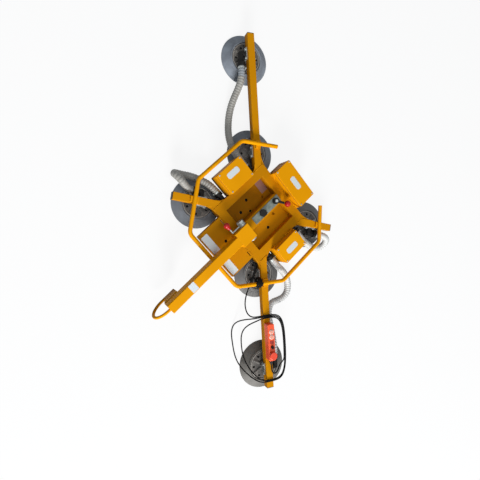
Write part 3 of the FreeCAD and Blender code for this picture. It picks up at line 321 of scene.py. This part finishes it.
# Index sockets: black plastic sleeves, closed below, under the holes of the floor and of the front panel.
# The index pin drops into those on its circle. The two at the ends of the swivel are coated cups.
black = Finish("black_moulding")
black_edges, black_rubbed = black.soft_edges(0.001)
black_grain = black.noise(900.0, 2.0)
black.set(Base_Color=black.mix(black.noise(20.0) * 0.7 + black_rubbed * 0.3, ink("0B0B0B"), ink("201F1E")),
          Roughness=0.45 + black_grain * 0.2, Specular_IOR_Level=0.15,
          Normal=black.bump(black_grain, 0.00008, black_edges))


def spun(mesh, outline, steps, place):
    """Ring or solid of revolution from an outline of radius and height, moved to its place."""
    old = set(mesh.verts)
    line = [mesh.verts.new((radius, 0, height)) for radius, height in outline]
    edges = [mesh.edges.new(pair) for pair in zip(line, line[1:])]
    bmesh.ops.spin(mesh, geom=line + edges, cent=(0, 0, 0), axis=(0, 0, 1), angle=2 * math.pi, steps=steps,
                   use_merge=True)
    made = [v for v in mesh.verts if v not in old]
    bmesh.ops.remove_doubles(mesh, verts=made, dist=1e-6)
    bmesh.ops.transform(mesh, verts=[v for v in mesh.verts if v not in old], matrix=place)


sockets = bmesh.new()
stop_sockets = bmesh.new()
socket_places = [(sockets, 22, -41, 60, 8.1), (sockets, 256, -26, 107, 8.6)]
for turn in (0, 90, 140, 180, 210, 270, 315):
    a = math.radians(turn)
    socket_places.append((stop_sockets if turn in (140, 210) else sockets, 102 * math.cos(a), 102 * math.sin(a), 60, 9.1))
for mesh, x, y, height, radius in socket_places:
    bore = radius / 1000
    wall = bore + 0.0024
    spun(mesh, [(0, -0.0155), (wall - 0.0008, -0.0155), (wall, -0.0147), (wall, 0.0004), (bore, 0.0004),
                (bore, -0.0135), (0, -0.0135)], 28, Matrix.Translation(spot(x, y, height)))
new_piece("index_sockets", sockets, black, "base")
new_piece("stop_sockets", stop_sockets, base_coat, "base")

# Rating plate of the floor, left bare: thin anodised aluminium with rounded corners, riveted down.
plate_metal = Finish("bare_label_plate")
plate_grain = plate_metal.node("ShaderNodeTexNoise", {}, {"Vector": plate_metal.node(
    "ShaderNodeMapping", {}, {"Vector": plate_metal.place, "Scale": (40, 900, 200)}), "Scale": 1.0, "Detail": 4.0})
plate_metal.set(Base_Color=plate_metal.mix(plate_grain, ink("B7C0C4"), ink("D3DADC")), Metallic=0.25,
                Roughness=0.4 + plate_grain * 0.15, Normal=plate_metal.bump(plate_grain, 0.00002))
tinted = Finish("tinted_label_plate")
tinted_grain = tinted.noise(300.0)
tinted.set(Base_Color=tinted.mix(tinted_grain, ink("80564A"), ink("94695C")), Roughness=0.4 + tinted_grain * 0.1)


def label_plate(name, middle, size, turn, finish, body, corner=0.006, thick=0.0004):
    """Thin blank plate with rounded corners and an eased rim."""
    mesh = bmesh.new()
    bmesh.ops.create_grid(mesh, x_segments=1, y_segments=1, size=0.5)
    bmesh.ops.scale(mesh, verts=mesh.verts, vec=(size[0], size[1], 1))
    bmesh.ops.bevel(mesh, geom=mesh.verts[:], offset=corner, affect="VERTICES", segments=5, profile=0.5,
                    material=-1)
    grown = bmesh.ops.extrude_face_region(mesh, geom=mesh.faces[:])["geom"]
    top = [g for g in grown if isinstance(g, bmesh.types.BMFace)]
    bmesh.ops.translate(mesh, verts=top[0].verts, vec=(0, 0, thick))
    bmesh.ops.inset_region(mesh, faces=top, thickness=0.0009, depth=0.0001)
    bmesh.ops.transform(mesh, verts=mesh.verts,
                        matrix=Matrix.Translation(middle) @ Matrix.Rotation(math.radians(turn), 4, "Z"))
    return new_piece(name, mesh, finish, body, smooth=False)


label_plate("floor_plate", spot(-122, -101, 64), (0.046, 0.07), 0, tinted, "base", 0.002)
label_plate("panel_strip", spot(330, -72, 110), (0.042, 0.112), 0, plate_metal, "base", 0.002)
label_plate("panel_strip_left", spot(328, 85, 110), (0.042, 0.106), 0, plate_metal, "base", 0.002)

# Arms: four square tubes welded to the base, with black plastic plugs in their ends.
dress(coat, "long_arm_front", "long_arm_rear", "short_arm_front", "short_arm_rear")
dress(black, "arm_end_plugs")

# Handle ring: one bent round tube over the arms, open at the rear, on a welded tab at each arm.
dress(coat, "handle_ring")
ring_welds = bmesh.new()
for angle, crossing in ((front_left, 386), (front_right, 386), (rear_left, 379.7), (rear_right, 379.7)):
    feet = [arm_point(angle, crossing + along, offset, 110.4) for along, offset in (
        (-22, -15), (22, -15), (22, 15), (-22, 15))]
    for foot, after in zip(feet, feet[1:] + feet[:1]):
        weld(ring_welds, foot, after, 0.002)
    for along in (-10, 10):
        weld(ring_welds, arm_point(angle, crossing + along, -14, 124), arm_point(angle, crossing + along, 14, 124))
new_piece("ring_welds", ring_welds, coat, "base")

# Equipment boxes: folded steel shells with cap lids on a rubber gasket, four screws to a lid, and ears
# that brace them on the rim. A blank plate is glued on each lid.
dress(coat, "right_box", "right_box_lid", "left_box", "left_box_lid", "rear_box", "rear_box_lid", "box_ears")
gasket_rubber = Finish("gasket_rubber")
gasket_grain = gasket_rubber.noise(400.0)
gasket_rubber.set(Base_Color=gasket_rubber.mix(gasket_grain, ink("1B1A19"), ink("2C2A28")), Roughness=0.75)
zinc = Finish("zinc_plate")
zinc_edges, zinc_rubbed = zinc.soft_edges(0.0008)
spangle = zinc.node("ShaderNodeTexVoronoi", {}, {"Vector": zinc.place, "Scale": 130.0}, "Color") * 1.0
dull = zinc.step(zinc.noise(30.0), 0.35, 0.65)
zinc.set(Base_Color=zinc.mix(dull * 0.6 + spangle * 0.3, ink("7E8482"), ink("B4B9B6")), Metallic=0.7,
         Roughness=0.36 + dull * 0.12 + spangle * 0.1 - zinc_rubbed * 0.1,
         Normal=zinc.bump(zinc.noise(300.0), 0.00005, zinc_edges))


screws = bmesh.new()
for name, x0, x1, y0, y1, plate_x, plate_y, turn in (
        ("right", -87, 80, -320, -195, 1, -276, 0), ("left", -80, 85, 195, 298, 3, 253, 0),
        ("rear", -309, -195, -122, 122, -256, 0, 90)):
    gasket = bmesh.new()
    bmesh.ops.create_cube(gasket, size=1)
    bmesh.ops.scale(gasket, verts=gasket.verts, vec=((x1 - x0 + 0.8) / 1000, (y1 - y0 + 0.8) / 1000, 0.0022))
    bmesh.ops.bevel(gasket, geom=[e for e in gasket.edges if abs(e.verts[0].co.z - e.verts[1].co.z) > 0.001],
                    offset=0.006, affect="EDGES", segments=6, profile=0.5, material=-1)
    bmesh.ops.translate(gasket, verts=gasket.verts, vec=spot((x0 + x1) / 2, (y0 + y1) / 2, 151))
    new_piece(name + "_gasket", gasket, gasket_rubber, "base", smooth=False)
    label_plate(name + "_label", spot(plate_x, plate_y, 165), (0.08, 0.032), turn, plate_metal, "base", 0.011)
    for x in (x0 + 9, x1 - 9):
        for y in (y0 + 9, y1 - 9):
            spun(screws, [(0, 0.0018), (0.0017, 0.0018), (0.0021, 0.003), (0.0031, 0.0029), (0.0039, 0.0022),
                          (0.00425, 0.001), (0.00425, 0), (0.0022, -0.0005), (0, -0.0005)], 20,
                 Matrix.Translation(spot(x, y, 165)))
lid_screws = new_piece("lid_screw_heads", screws, zinc, "base")
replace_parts(lid_screws, "lid_screws")

# Units inside the boxes: sealed battery, vacuum pump of cast aluminium, and the control board.
case = Finish("battery_case")
case_grain = case.noise(500.0)
case.set(Base_Color=case.mix(case.noise(25.0), ink("26282B"), ink("35383C")), Roughness=0.5 + case_grain * 0.2)
dress(case, "battery")
cast = Finish("cast_aluminium")
cast_grain = cast.noise(350.0, 4.0)
cast.set(Base_Color=cast.mix(cast_grain, ink("8C8D8E"), ink("ABACAD")), Metallic=0.8, Roughness=0.45 + cast_grain * 0.2,
         Normal=cast.bump(cast_grain, 0.0002))
dress(cast, "vacuum_pump")
board = Finish("circuit_board")
tracks = board.node("ShaderNodeTexBrick", {}, {"Vector": board.place, "Scale": 90.0, "Mortar Size": 0.03}, "Fac")
board.set(Base_Color=board.mix(tracks * 0.4, ink("1E5A34"), ink("B08A3A")), Roughness=0.4 + board.noise(200.0) * 0.2)
dress(board, "control_board")

# Swivel head on its pivot: a box beam with hinge ears that turns on a bronze thrust washer, held by a
# blackened bolt. The galvanised lock plate is screwed along its top.
dress(base_coat, "swivel_head")
weathered = Finish("weathered_zinc")
weathered_edges, weathered_rubbed = weathered.soft_edges(0.0008)
bloom = weathered.step(weathered.noise(36.0, 5.0), 0.35, 0.7)
weathered.set(Base_Color=weathered.mix(bloom * 0.7 + weathered_rubbed * 0.3, ink("626A64"), ink("8B928A")), Metallic=0.4,
              Roughness=0.45 + bloom * 0.15, Specular_IOR_Level=0.25,
              Normal=weathered.bump(weathered.noise(300.0), 0.00006, weathered_edges))
dress(weathered, "lock_plate")
bronze = Finish("bronze_washer")
bronze_wear = bronze.noise(80.0, 4.0)
bronze.set(Base_Color=bronze.mix(bronze_wear, ink("5C4420"), ink("7A5C2C")), Metallic=0.6, Roughness=0.35 + bronze_wear * 0.2)
dress(bronze, "thrust_washer")
oxide = Finish("blackened_steel")
oxide_edges, oxide_rubbed = oxide.soft_edges(0.001)
oxide_wear = oxide.noise(120.0, 4.0)
oxide.set(Base_Color=oxide.mix(oxide_rubbed * 0.5 + oxide_wear * 0.2, ink("0E0D0D"), ink("4A4845")), Metallic=0.2, Specular_IOR_Level=0.2,
          Roughness=0.4 + oxide_wear * 0.2, Normal=oxide.bump(oxide_wear, 0.0001, oxide_edges))
dress(oxide, "pivot_bolt")

# Swivel lock: a black lever with a red ball knob on the head's rear end, which drives the index pin down.
dress(black, "swivel_lever")
dress(zinc, "index_pin")
red = Finish("red_plastic")
red_haze = red.noise(60.0, 4.0)
red.set(Base_Color=red.mix(red_haze, ink("960A0C"), ink("B81416")), Roughness=0.22 + red_haze * 0.16,
        Specular_IOR_Level=0.3, Normal=red.bump(red.noise(500.0), 0.00003))
dress(red, "swivel_knob")

# Tilt lock beside the fork: a galvanised hub and rod on the hinge pin, with a red knob on its stem.
dress(zinc, "hinge_pin", "tilt_lever")
dress(red, "tilt_knob")

# Lifting arm: a rectangular tube with its root fork, the hanger plate under its end and the crane loop,
# all welded. A blank white plate is stuck on its top.
dress(coat, "arm_fork", "lifting_arm", "hanger_plate", "crane_loop")
lift_welds = bmesh.new()
for side in (-25, 25):
    weld(lift_welds, spot(226.6, side, 147), spot(226.6, side, 213))
weld(lift_welds, spot(226.6, -24, 146), spot(226.6, 24, 146))
weld(lift_welds, spot(626, -25, 146), spot(704, -25, 146))
weld(lift_welds, spot(626, -13, 145.6), spot(704, -13, 145.6))
new_piece("lift_welds", lift_welds, coat, "lifting_arm")
label_plate("arm_label", spot(558, -1, 216), (0.036, 0.045), 0, plate_metal, "lifting_arm", 0.002)

# Suction cups: six moulded rubber dishes with a soft lip and faint steps, each bonded to a dark cast plate
# whose holes are closed by black plugs. The cup rocks on the cross pin of its stud.
rubber = Finish("cup_rubber")
dust = rubber.step(rubber.noise(14.0, 5.0), 0.35, 0.7)
grime = rubber.step(rubber.noise(60.0, 5.0, 0.65), 0.55, 0.75)
# The rubber turns darker and browner towards +Y, most at the front left cups.
rubber_side = rubber.node("ShaderNodeSeparateXYZ", {}, {0: rubber.place}, "Y")
rubber_skin = rubber.mix(rubber.step(rubber_side, -0.75, 0.7), rubber.mix(dust, ink("6E737B"), ink("868D96")), ink("5F5C57"))
rubber.set(Base_Color=rubber.mix(grime * 0.35, rubber_skin, ink("55524F")),
           Roughness=0.5 + dust * 0.2, Specular_IOR_Level=0.35, Normal=rubber.bump(rubber.noise(500.0, 3.0), 0.0001))
casting = Finish("dark_casting")
casting_edges, casting_worn_and_highlit_edges = casting.soft_edges(0.0012)
sand = casting.noise(260.0, 4.0)
soot = casting.step(casting.noise(24.0), 0.35, 0.7)
# Pale casting edges: rubbed wear and a painted highlight.
casting.set(Base_Color=casting.mix(casting_worn_and_highlit_edges * 0.65, casting.mix(soot, ink("4A4744"), ink("706C67")), ink("CFCBC5")),
            Roughness=0.45 + sand * 0.25, Metallic=0.2, Normal=casting.bump(sand, 0.0003, casting_edges))
dish_outline = [(r / 1000, z / 1000) for r, z in (
    (0, 15), (88, 15), (97, 13.5), (112, 8.5), (124.5, 2.2), (128.5, 0.2), (131.5, 0), (137.5, 0.2), (139.5, 1.2),
    (140, 3), (139.4, 5.2), (137, 7.4), (131, 10.2), (129.8, 11.4), (122, 14.8), (120.8, 16), (113, 19.2),
    (111.8, 20.5), (104, 24.2), (99.5, 27.5), (95.8, 30), (94.5, 32.2), (94.2, 35.2), (93.2, 36.6), (91.5, 37.2),
    (88, 37.2), (86.2, 36.6), (85.3, 35), (85, 32), (85, 24.2), (84, 24), (0, 24))]
rim_metal = Finish("turned_rim")
rim_grain = rim_metal.noise(240.0, 4.0)
rim_metal.set(Base_Color=rim_metal.mix(rim_grain, ink("7F7B76"), ink("A39F99")), Metallic=0.5,
              Roughness=0.35 + rim_grain * 0.2, Normal=rim_metal.bump(rim_grain, 0.0001))
rim_outline = [(r / 1000, z / 1000) for r, z in (
    (77, 31.6), (77.4, 33.8), (78.6, 34.8), (81.5, 34.8), (82.8, 33.8), (83.2, 31.6), (77, 31.6))]
plug_outline = [(r / 1000, z / 1000) for r, z in (
    (0, 26.6), (2.6, 26.6), (3.2, 28.6), (6, 28.4), (7.2, 27.6), (7.4, 26.4), (7.4, 24.2), (0, 24.2))]
cup_places = ((rear_right, 880), (rear_right, 345), (front_right, 345), (front_left, 345), (front_left, 880),
              (rear_left, 345))
for number, (angle, reach) in enumerate(cup_places, 1):
    body = "cup_%d" % number
    middle = Matrix.Translation(arm_point(angle, reach, 0, 0))
    dish = bmesh.new()
    spun(dish, dish_outline, 72, middle)
    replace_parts(new_piece("suction_cup_%d" % number, dish, rubber, body), "cup_dish_%d" % number)
    rim = bmesh.new()
    spun(rim, rim_outline, 64, middle)
    new_piece("cup_rim_%d" % number, rim, rim_metal, body)
    plugs = bmesh.new()
    for k in range(6):
        a = math.radians(angle + 60 * k + 30)
        spun(plugs, plug_outline, 16, middle @ Matrix.Translation((0.062 * math.cos(a), 0.062 * math.sin(a), 0)))
    new_piece("cup_plugs_%d" % number, plugs, black, body)
    dress(casting, "cup_plate_%d" % number)

# Carriers under the arms: folded brackets round the tube with the cups' studs, held by cross bolts with
# hexagon heads and washers.
dress(zinc, "cup_carriers")
bolts = bmesh.new()
for angle, reach in cup_places:
    for along in (-23.5, 23.5):
        for side in (-1, 1):
            a = math.radians(angle + 90 * side)
            out = Vector((math.cos(a), math.sin(a), 0)).to_track_quat("Z", "Y").to_matrix().to_4x4()
            place = Matrix.Translation(arm_point(angle, reach + along, side * 25, 84)) @ out
            spun(bolts, [(0, -0.0003), (0.0078, -0.0003), (0.0078, 0.0012), (0.0074, 0.0016), (0, 0.0016)], 20, place)
            head = bmesh.ops.create_cone(bolts, cap_ends=True, segments=6, radius1=0.0068, radius2=0.0068,
                                         depth=0.0045, matrix=place @ Matrix.Translation((0, 0, 0.0038)))["verts"]
            outward = place.to_3x3() @ Vector((0, 0, 1))
            top = [e for e in {e for v in head for e in v.link_edges}
                   if all((v.co - place.translation).dot(outward) > 0.005 for v in e.verts)]
            bmesh.ops.bevel(bolts, geom=top, offset=0.0008, affect="EDGES", segments=2, profile=0.5, material=-1)
new_piece("carrier_bolts", bolts, zinc, "base", smooth=False)

# Vacuum hoses: ribbed, slightly clouded plastic, from the ports on the base to the elbows on the carriers,
# clamped on at both ends. Each follows the smooth line of its route and sags to the glass between them.
dress(black, "hose_fittings")
aged_hose = Finish("aged_hose_plastic")
clear_lit_hose = Finish("clear_lit_hose_plastic")
# The clear copy is paler: clearer plastic, plus painted light for the lamp on it and the white floor seen through it.
for hose_plastic, thin, thick, dirty in ((aged_hose, "8A8781", "9E9C96", "716E68"), (clear_lit_hose, "B6B6B3", "CBCBC9", "9D9C98")):
    haze = hose_plastic.noise(40.0, 4.0)
    hose_dirt = hose_plastic.step(hose_plastic.noise(9.0, 4.0), 0.45, 0.75)
    hose_plastic.set(Base_Color=hose_plastic.mix(hose_dirt * 0.5, hose_plastic.mix(haze, ink(thin), ink(thick)), ink(dirty)),
                     Roughness=0.36 + haze * 0.2, Normal=hose_plastic.bump(haze, 0.0003))


cuff_plastic = Finish("clear_cuff_plastic")
cuff_haze = cuff_plastic.noise(40.0, 4.0)
cuff_plastic.set(Base_Color=cuff_plastic.mix(cuff_haze, ink("9AA0A6"), ink("C2C7CC")), Roughness=0.25 + cuff_haze * 0.2,
                 Alpha=0.45)


def route_curve(name, points):
    """Smooth open spline on a route's points."""
    data = bpy.data.curves.new(name, "CURVE")
    data.dimensions = "3D"
    data.resolution_u = 12
    spline = data.splines.new("NURBS")
    spline.points.add(len(points) - 1)
    for target, point in zip(spline.points, points):
        target.co = (*point, 1)
    spline.order_u = 3
    spline.use_endpoint_u = True
    curve = bpy.data.objects.new(name, data)
    bpy.context.scene.collection.objects.link(curve)
    return curve


def spline_points(points):
    """Points read from the smooth spline of a route."""
    guide = route_curve("guide", points)
    line = bpy.data.meshes.new_from_object(guide)
    found = [v.co.copy() for v in line.vertices]
    bpy.data.objects.remove(guide)
    bpy.data.meshes.remove(line)
    return found


def clamp_band(mesh, place):
    """Worm drive band round a hose end, with its screw housing."""
    spun(mesh, [(0.0201, -0.005), (0.0206, -0.0052), (0.021, -0.0044), (0.021, 0.0044), (0.0206, 0.0052),
                (0.0201, 0.005), (0.0201, -0.005)], 40, place)
    housing = bmesh.ops.create_cube(mesh, size=1, matrix=place @ Matrix.Translation((0.0236, 0, 0)) @ Matrix.Diagonal(
        (0.006, 0.014, 0.009, 1)))["verts"]
    bmesh.ops.bevel(mesh, geom=list({e for v in housing for e in v.link_edges}), offset=0.0012, affect="EDGES",
                    segments=2, profile=0.5, material=-1)
    spun(mesh, [(0, 0.011), (0.0022, 0.011), (0.003, 0.0102), (0.003, 0.006), (0, 0.006)], 12,
         place @ Matrix.Translation((0.0236, 0, 0)) @ Matrix.Rotation(math.radians(-90), 4, "X"))


def bend_along(mesh, line):
    """Carry a straight tube on the Z axis over to a line of its own length."""
    marks = [0.0]
    for a, b in zip(line, line[1:]):
        marks.append(marks[-1] + (b - a).length)
    at = 0
    for v in sorted(mesh.verts, key=lambda v: v.co.z):
        while at < len(marks) - 2 and marks[at + 1] < v.co.z:
            at += 1
        share = (v.co.z - marks[at]) / (marks[at + 1] - marks[at])
        heading = (line[at + 1] - line[at]).normalized()
        if share < 0.5 and at > 0:
            heading = heading * (0.5 + share) + (line[at] - line[at - 1]).normalized() * (0.5 - share)
        if share > 0.5 and at < len(marks) - 2:
            heading = heading * (1.5 - share) + (line[at + 2] - line[at + 1]).normalized() * (share - 0.5)
        heading.normalize()
        side = Vector((0, 0, 1)).cross(heading).normalized()
        v.co = line[at].lerp(line[at + 1], share) + heading.cross(side) * v.co.x + side * v.co.y


def ribbed_hose(name, angle, route, node, finish):
    crest = 0.0200
    valley = 0.0180
    bore = 0.0160
    pitch = 0.014
    samples = 8
    port_side = math.copysign(1, route[-1][1])
    route = route + [(300.47, port_side * 96.45, 80), (257.49, port_side * 62.14, 80)]
    line = spline_points([arm_point(angle, *place) for place in route])
    run = sum((b - a).length for a, b in zip(line, line[1:]))
    ribs = round(run / pitch)
    rings = []
    for k in range(ribs * samples + 1):
        swell = 0.5 - 0.5 * math.cos(2 * math.pi * k / samples)
        rings.append((valley + (crest - valley) * swell ** 0.5, run * k / (ribs * samples)))
    mesh = bmesh.new()
    outline = [mesh.verts.new((r, 0, z)) for r, z in rings]
    outline += [mesh.verts.new((bore, 0, rings[k][1])) for k in range(len(rings) - 1, -1, -samples)]
    edges = [mesh.edges.new(pair) for pair in zip(outline, outline[1:] + outline[:1])]
    bmesh.ops.spin(mesh, geom=outline + edges, cent=(0, 0, 0), axis=(0, 0, 1), angle=2 * math.pi, steps=24,
                   use_merge=True)
    bend_along(mesh, line)
    hose = new_piece(name, mesh, finish, "base")
    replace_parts(hose, node)
    bands = bmesh.new()
    for end, inner in ((line[0], line[1]), (line[-1], line[-2])):
        inward = (inner - end).normalized()
        clamp_band(bands, Matrix.Translation(end + inward * 0.009) @ inward.to_track_quat("Z", "Y").to_matrix().to_4x4())
    new_piece(name + "_clamps", bands, zinc, "base", smooth=False)
    return hose


rear_long = ribbed_hose("vacuum_hose_rear_long", rear_right, [
    (812, 52, 76), (752, 52, 76), (692, 74, 62), (640, 98, 44), (584, 117, 30), (524, 128, 23),
    (464, 133, 24), (410, 133, 38), (356, 125, 62)], "hose_rear_long", aged_hose)
rear_long.data.materials.append(cuff_plastic.material)
cuff_centre = arm_point(rear_right, 880, 0, 76)
for face in rear_long.data.polygons:
    if (face.center - cuff_centre).length < 0.142:
        face.material_index = 1
ribbed_hose("vacuum_hose_front_short", front_right, [
    (392, -52, 76), (414, -53, 77), (438, -66, 88), (464, -86, 100), (491, -106, 92), (502, -120, 64),
    (488, -128, 36), (452, -130, 26), (410, -129, 40), (360, -117, 62)], "hose_front_short", aged_hose)
ribbed_hose("vacuum_hose_front_long", front_left, [
    (812, 52, 76), (770, 52, 76), (726, 55, 62), (682, 58, 42), (636, 58, 27), (592, 54, 22), (553, 60, 22),
    (524, 82, 22), (516, 122, 22.5), (505, 160, 24), (474, 186, 28), (428, 190, 35), (384, 175, 48),
    (342, 145, 65)], "hose_front_long", clear_lit_hose)
ribbed_hose("vacuum_hose_rear_short", rear_left, [
    (392, -52, 76), (425, -52, 76), (460, -56, 82), (488, -72, 68), (495, -96, 46), (480, -121, 26),
    (446, -133, 24), (405, -131, 40), (358, -119, 60)], "hose_rear_short", clear_lit_hose)

# Pendant: a two part housing of orange plastic on the front long arm, with two pale push buttons in collars,
# a dark rocker, a black selector and a mushroom stop.
orange = Finish("orange_plastic")
orange_edges, orange_rubbed = orange.soft_edges(0.001)
orange_height = orange.node("ShaderNodeSeparateXYZ", {}, {0: orange.place}, "Z")
shell_seam = orange.step(orange_height, 0.1372, 0.1376) - orange.step(orange_height, 0.1384, 0.1388)
orange_skin = orange.mix(orange.noise(30.0), ink("E24A1E"), ink("F05A2C"))
orange.set(Base_Color=orange.mix(shell_seam, orange.mix(orange_rubbed * 0.4, orange_skin, ink("F58A66")), ink("5A1608")),
           Roughness=0.38 + orange.noise(200.0) * 0.12,
           Normal=orange.bump(orange.noise(900.0, 2.0) - shell_seam * 3.0, 0.00012, orange_edges))
dress(orange, "pendant")
cream = Finish("pale_plastic")
cream_haze = cream.noise(120.0)
cream.set(Base_Color=cream.mix(cream_haze, ink("E6DCCF"), ink("F2EADF")), Roughness=0.4 + cream_haze * 0.1)
blush = Finish("button_caps")
blush_haze = blush.noise(120.0)
blush.set(Base_Color=blush.mix(blush_haze, ink("DE8A72"), ink("E8A08C")), Roughness=0.4 + blush_haze * 0.1)
dress(blush, "grip_button", "release_button")
stop_red = Finish("stop_plastic")
stop_haze = stop_red.noise(70.0, 4.0)
stop_red.set(Base_Color=stop_red.mix(stop_haze, ink("D6371C"), ink("EA4E30")), Roughness=0.28 + stop_haze * 0.12)
dress(stop_red, "stop_button")
dress(black, "selector_knob", "cable_glands")
collars = bmesh.new()
for at in (43, 71):
    spun(collars, [(0.0099, -0.0004), (0.0099, 0.0022), (0.0104, 0.0028), (0.0118, 0.0027), (0.0126, 0.002),
                   (0.013, 0), (0.013, -0.0004), (0.0099, -0.0004)], 32,
         Matrix.Translation(arm_point(front_left, 612 + at, 0, 156)))
new_piece("button_collars", collars, cream, "base")
rocker = bmesh.new()
rocker_place = Matrix.Translation(arm_point(front_left, 712, 0, 156.4)) @ Matrix.Rotation(math.radians(front_left), 4, "Z")
rocker_verts = bmesh.ops.create_cube(rocker, size=1, matrix=rocker_place @ Matrix.Diagonal((0.016, 0.024, 0.0016, 1)))
bmesh.ops.bevel(rocker, geom=rocker.edges[:], offset=0.0006, affect="EDGES", segments=2, profile=0.5, material=-1)
dark_red = Finish("dark_rocker")
dark_red_haze = dark_red.noise(200.0)
dark_red.set(Base_Color=dark_red.mix(dark_red_haze, ink("8E1E12"), ink("A82A1A")), Roughness=0.4 + dark_red_haze * 0.1)
new_piece("pendant_rocker", rocker, dark_red, "base", smooth=False)

# Pendant cable: black rubber sheath, from the gland under the front panel along the front long arm, then
# a hank of shrinking loops laid over that arm, and into the pendant's own gland.
sheath = Finish("cable_sheath")
sheath_grain = sheath.noise(500.0)
sheath_dust = sheath.step(sheath.noise(25.0), 0.5, 0.8)
sheath.set(Base_Color=sheath.mix(sheath_dust * 0.4, sheath.mix(sheath_grain, ink("050505"), ink("0D0D0D")), ink("1C1B1A")),
           Roughness=0.55 + sheath_grain * 0.15, Specular_IOR_Level=0.1)
cable_route = [
    (264.19, -55.25, 85), (286, -38.5, 84.5), (316, -42, 80), (352, -50, 71), (388, -62, 61), (424, -79, 52),
    (460, -93, 49), (494, -105, 57), (522, -112, 75), (546, -111.5, 92), (563, -101, 104), (570.4, -82.6, 114.3)]


def hank_place(turn):
    """Place on the hank: square-cornered loops that shrink inwards and climb over the arm."""
    angle = 2 * math.pi * turn
    across = math.sin(angle)
    if across > 0:
        offset = (120.4 - 7.1 * turn) * across ** 0.6
    else:
        spread, bow = (0.14, 0.85) if turn > 1.75 else (0.28, 0.7)
        offset = (38.8 * turn - 201) * (1 + spread * math.cos(angle)) * (-across) ** bow
    along = 760 - (190 - 7.1 * turn) * math.copysign(abs(math.cos(angle)) ** 0.7, math.cos(angle))
    low = 72 if across > 0 else 4.3
    fall = min(max((abs(offset) - 60) / (172 - 60), 0), 1)
    return along, offset, 114.3 + (low - 114.3) * fall * fall * (3 - 2 * fall)


hank_start = -0.016
hank_end = 2.31
steps = round((hank_end - hank_start) * 32)
cable_route += [hank_place(hank_start + (hank_end - hank_start) * k / steps) for k in range(steps + 1)]
cable_route += [(874, 80, 84), (900, 60, 97), (909, 36, 112), (898, 13, 125), (878, 3, 131), (851, 0, 133),
                (844, 0, 133)]
cable = route_curve("pendant_cable", [arm_point(front_left, *place) for place in cable_route])
cable.data.bevel_depth = 0.0035
cable.data.bevel_resolution = 4
cable.data.materials.append(sheath.material)
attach(cable, "base")
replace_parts(cable, "cable_lead", "cable_hank")
arm_point(front_left, *cable_route[0])

# Cable sleeve: black corrugated conduit over the cable from its gland to the handle ring, and six loose
# turns of black cord that hang it from the ring.
sleeve_line = spline_points([arm_point(front_left, *place) for place in cable_route[:8]])
sleeve_run = 0.0
sleeve_part = []
for a, b in zip(sleeve_line, sleeve_line[1:]):
    sleeve_run += (b - a).length
    if 0.012 < sleeve_run < 0.152:
        sleeve_part.append(a)
sleeve_run = sum((b - a).length for a, b in zip(sleeve_part, sleeve_part[1:]))
sleeve = bmesh.new()
sleeve_ribs = round(sleeve_run / 0.0044)
sleeve_outline = [(0.0037, 0), (0.0058, 0)]
for k in range(sleeve_ribs):
    sleeve_outline += [(0.0068, sleeve_run * (k + 0.25) / sleeve_ribs), (0.0068, sleeve_run * (k + 0.6) / sleeve_ribs),
                       (0.0056, sleeve_run * (k + 0.85) / sleeve_ribs)]
sleeve_outline += [(0.0056, sleeve_run), (0.0037, sleeve_run)]
spun(sleeve, sleeve_outline, 14, Matrix.Identity(4))
bend_along(sleeve, sleeve_part)
new_piece("cable_sleeve", sleeve, black, "base")
tie_route = []
for turn, (wide, top, foot) in enumerate((
        (23, 147, 101), (27, 147.5, 104), (29, 148, 97), (28, 147.5, 93), (26, 147.5, 49), (23, 147, 86))):
    for k in range(12):
        a = 2 * math.pi * k / 12
        tie_route.append(arm_point(front_left, 379 + wide * math.sin(a), -28 - 7 * (turn + k / 12),
                                   (top + foot) / 2 + (top - foot) / 2 * math.cos(a)))
tie = route_curve("cable_tie", tie_route)
tie.data.bevel_depth = 0.0034
tie.data.bevel_resolution = 3
tie.data.materials.append(sheath.material)
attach(tie, "base")
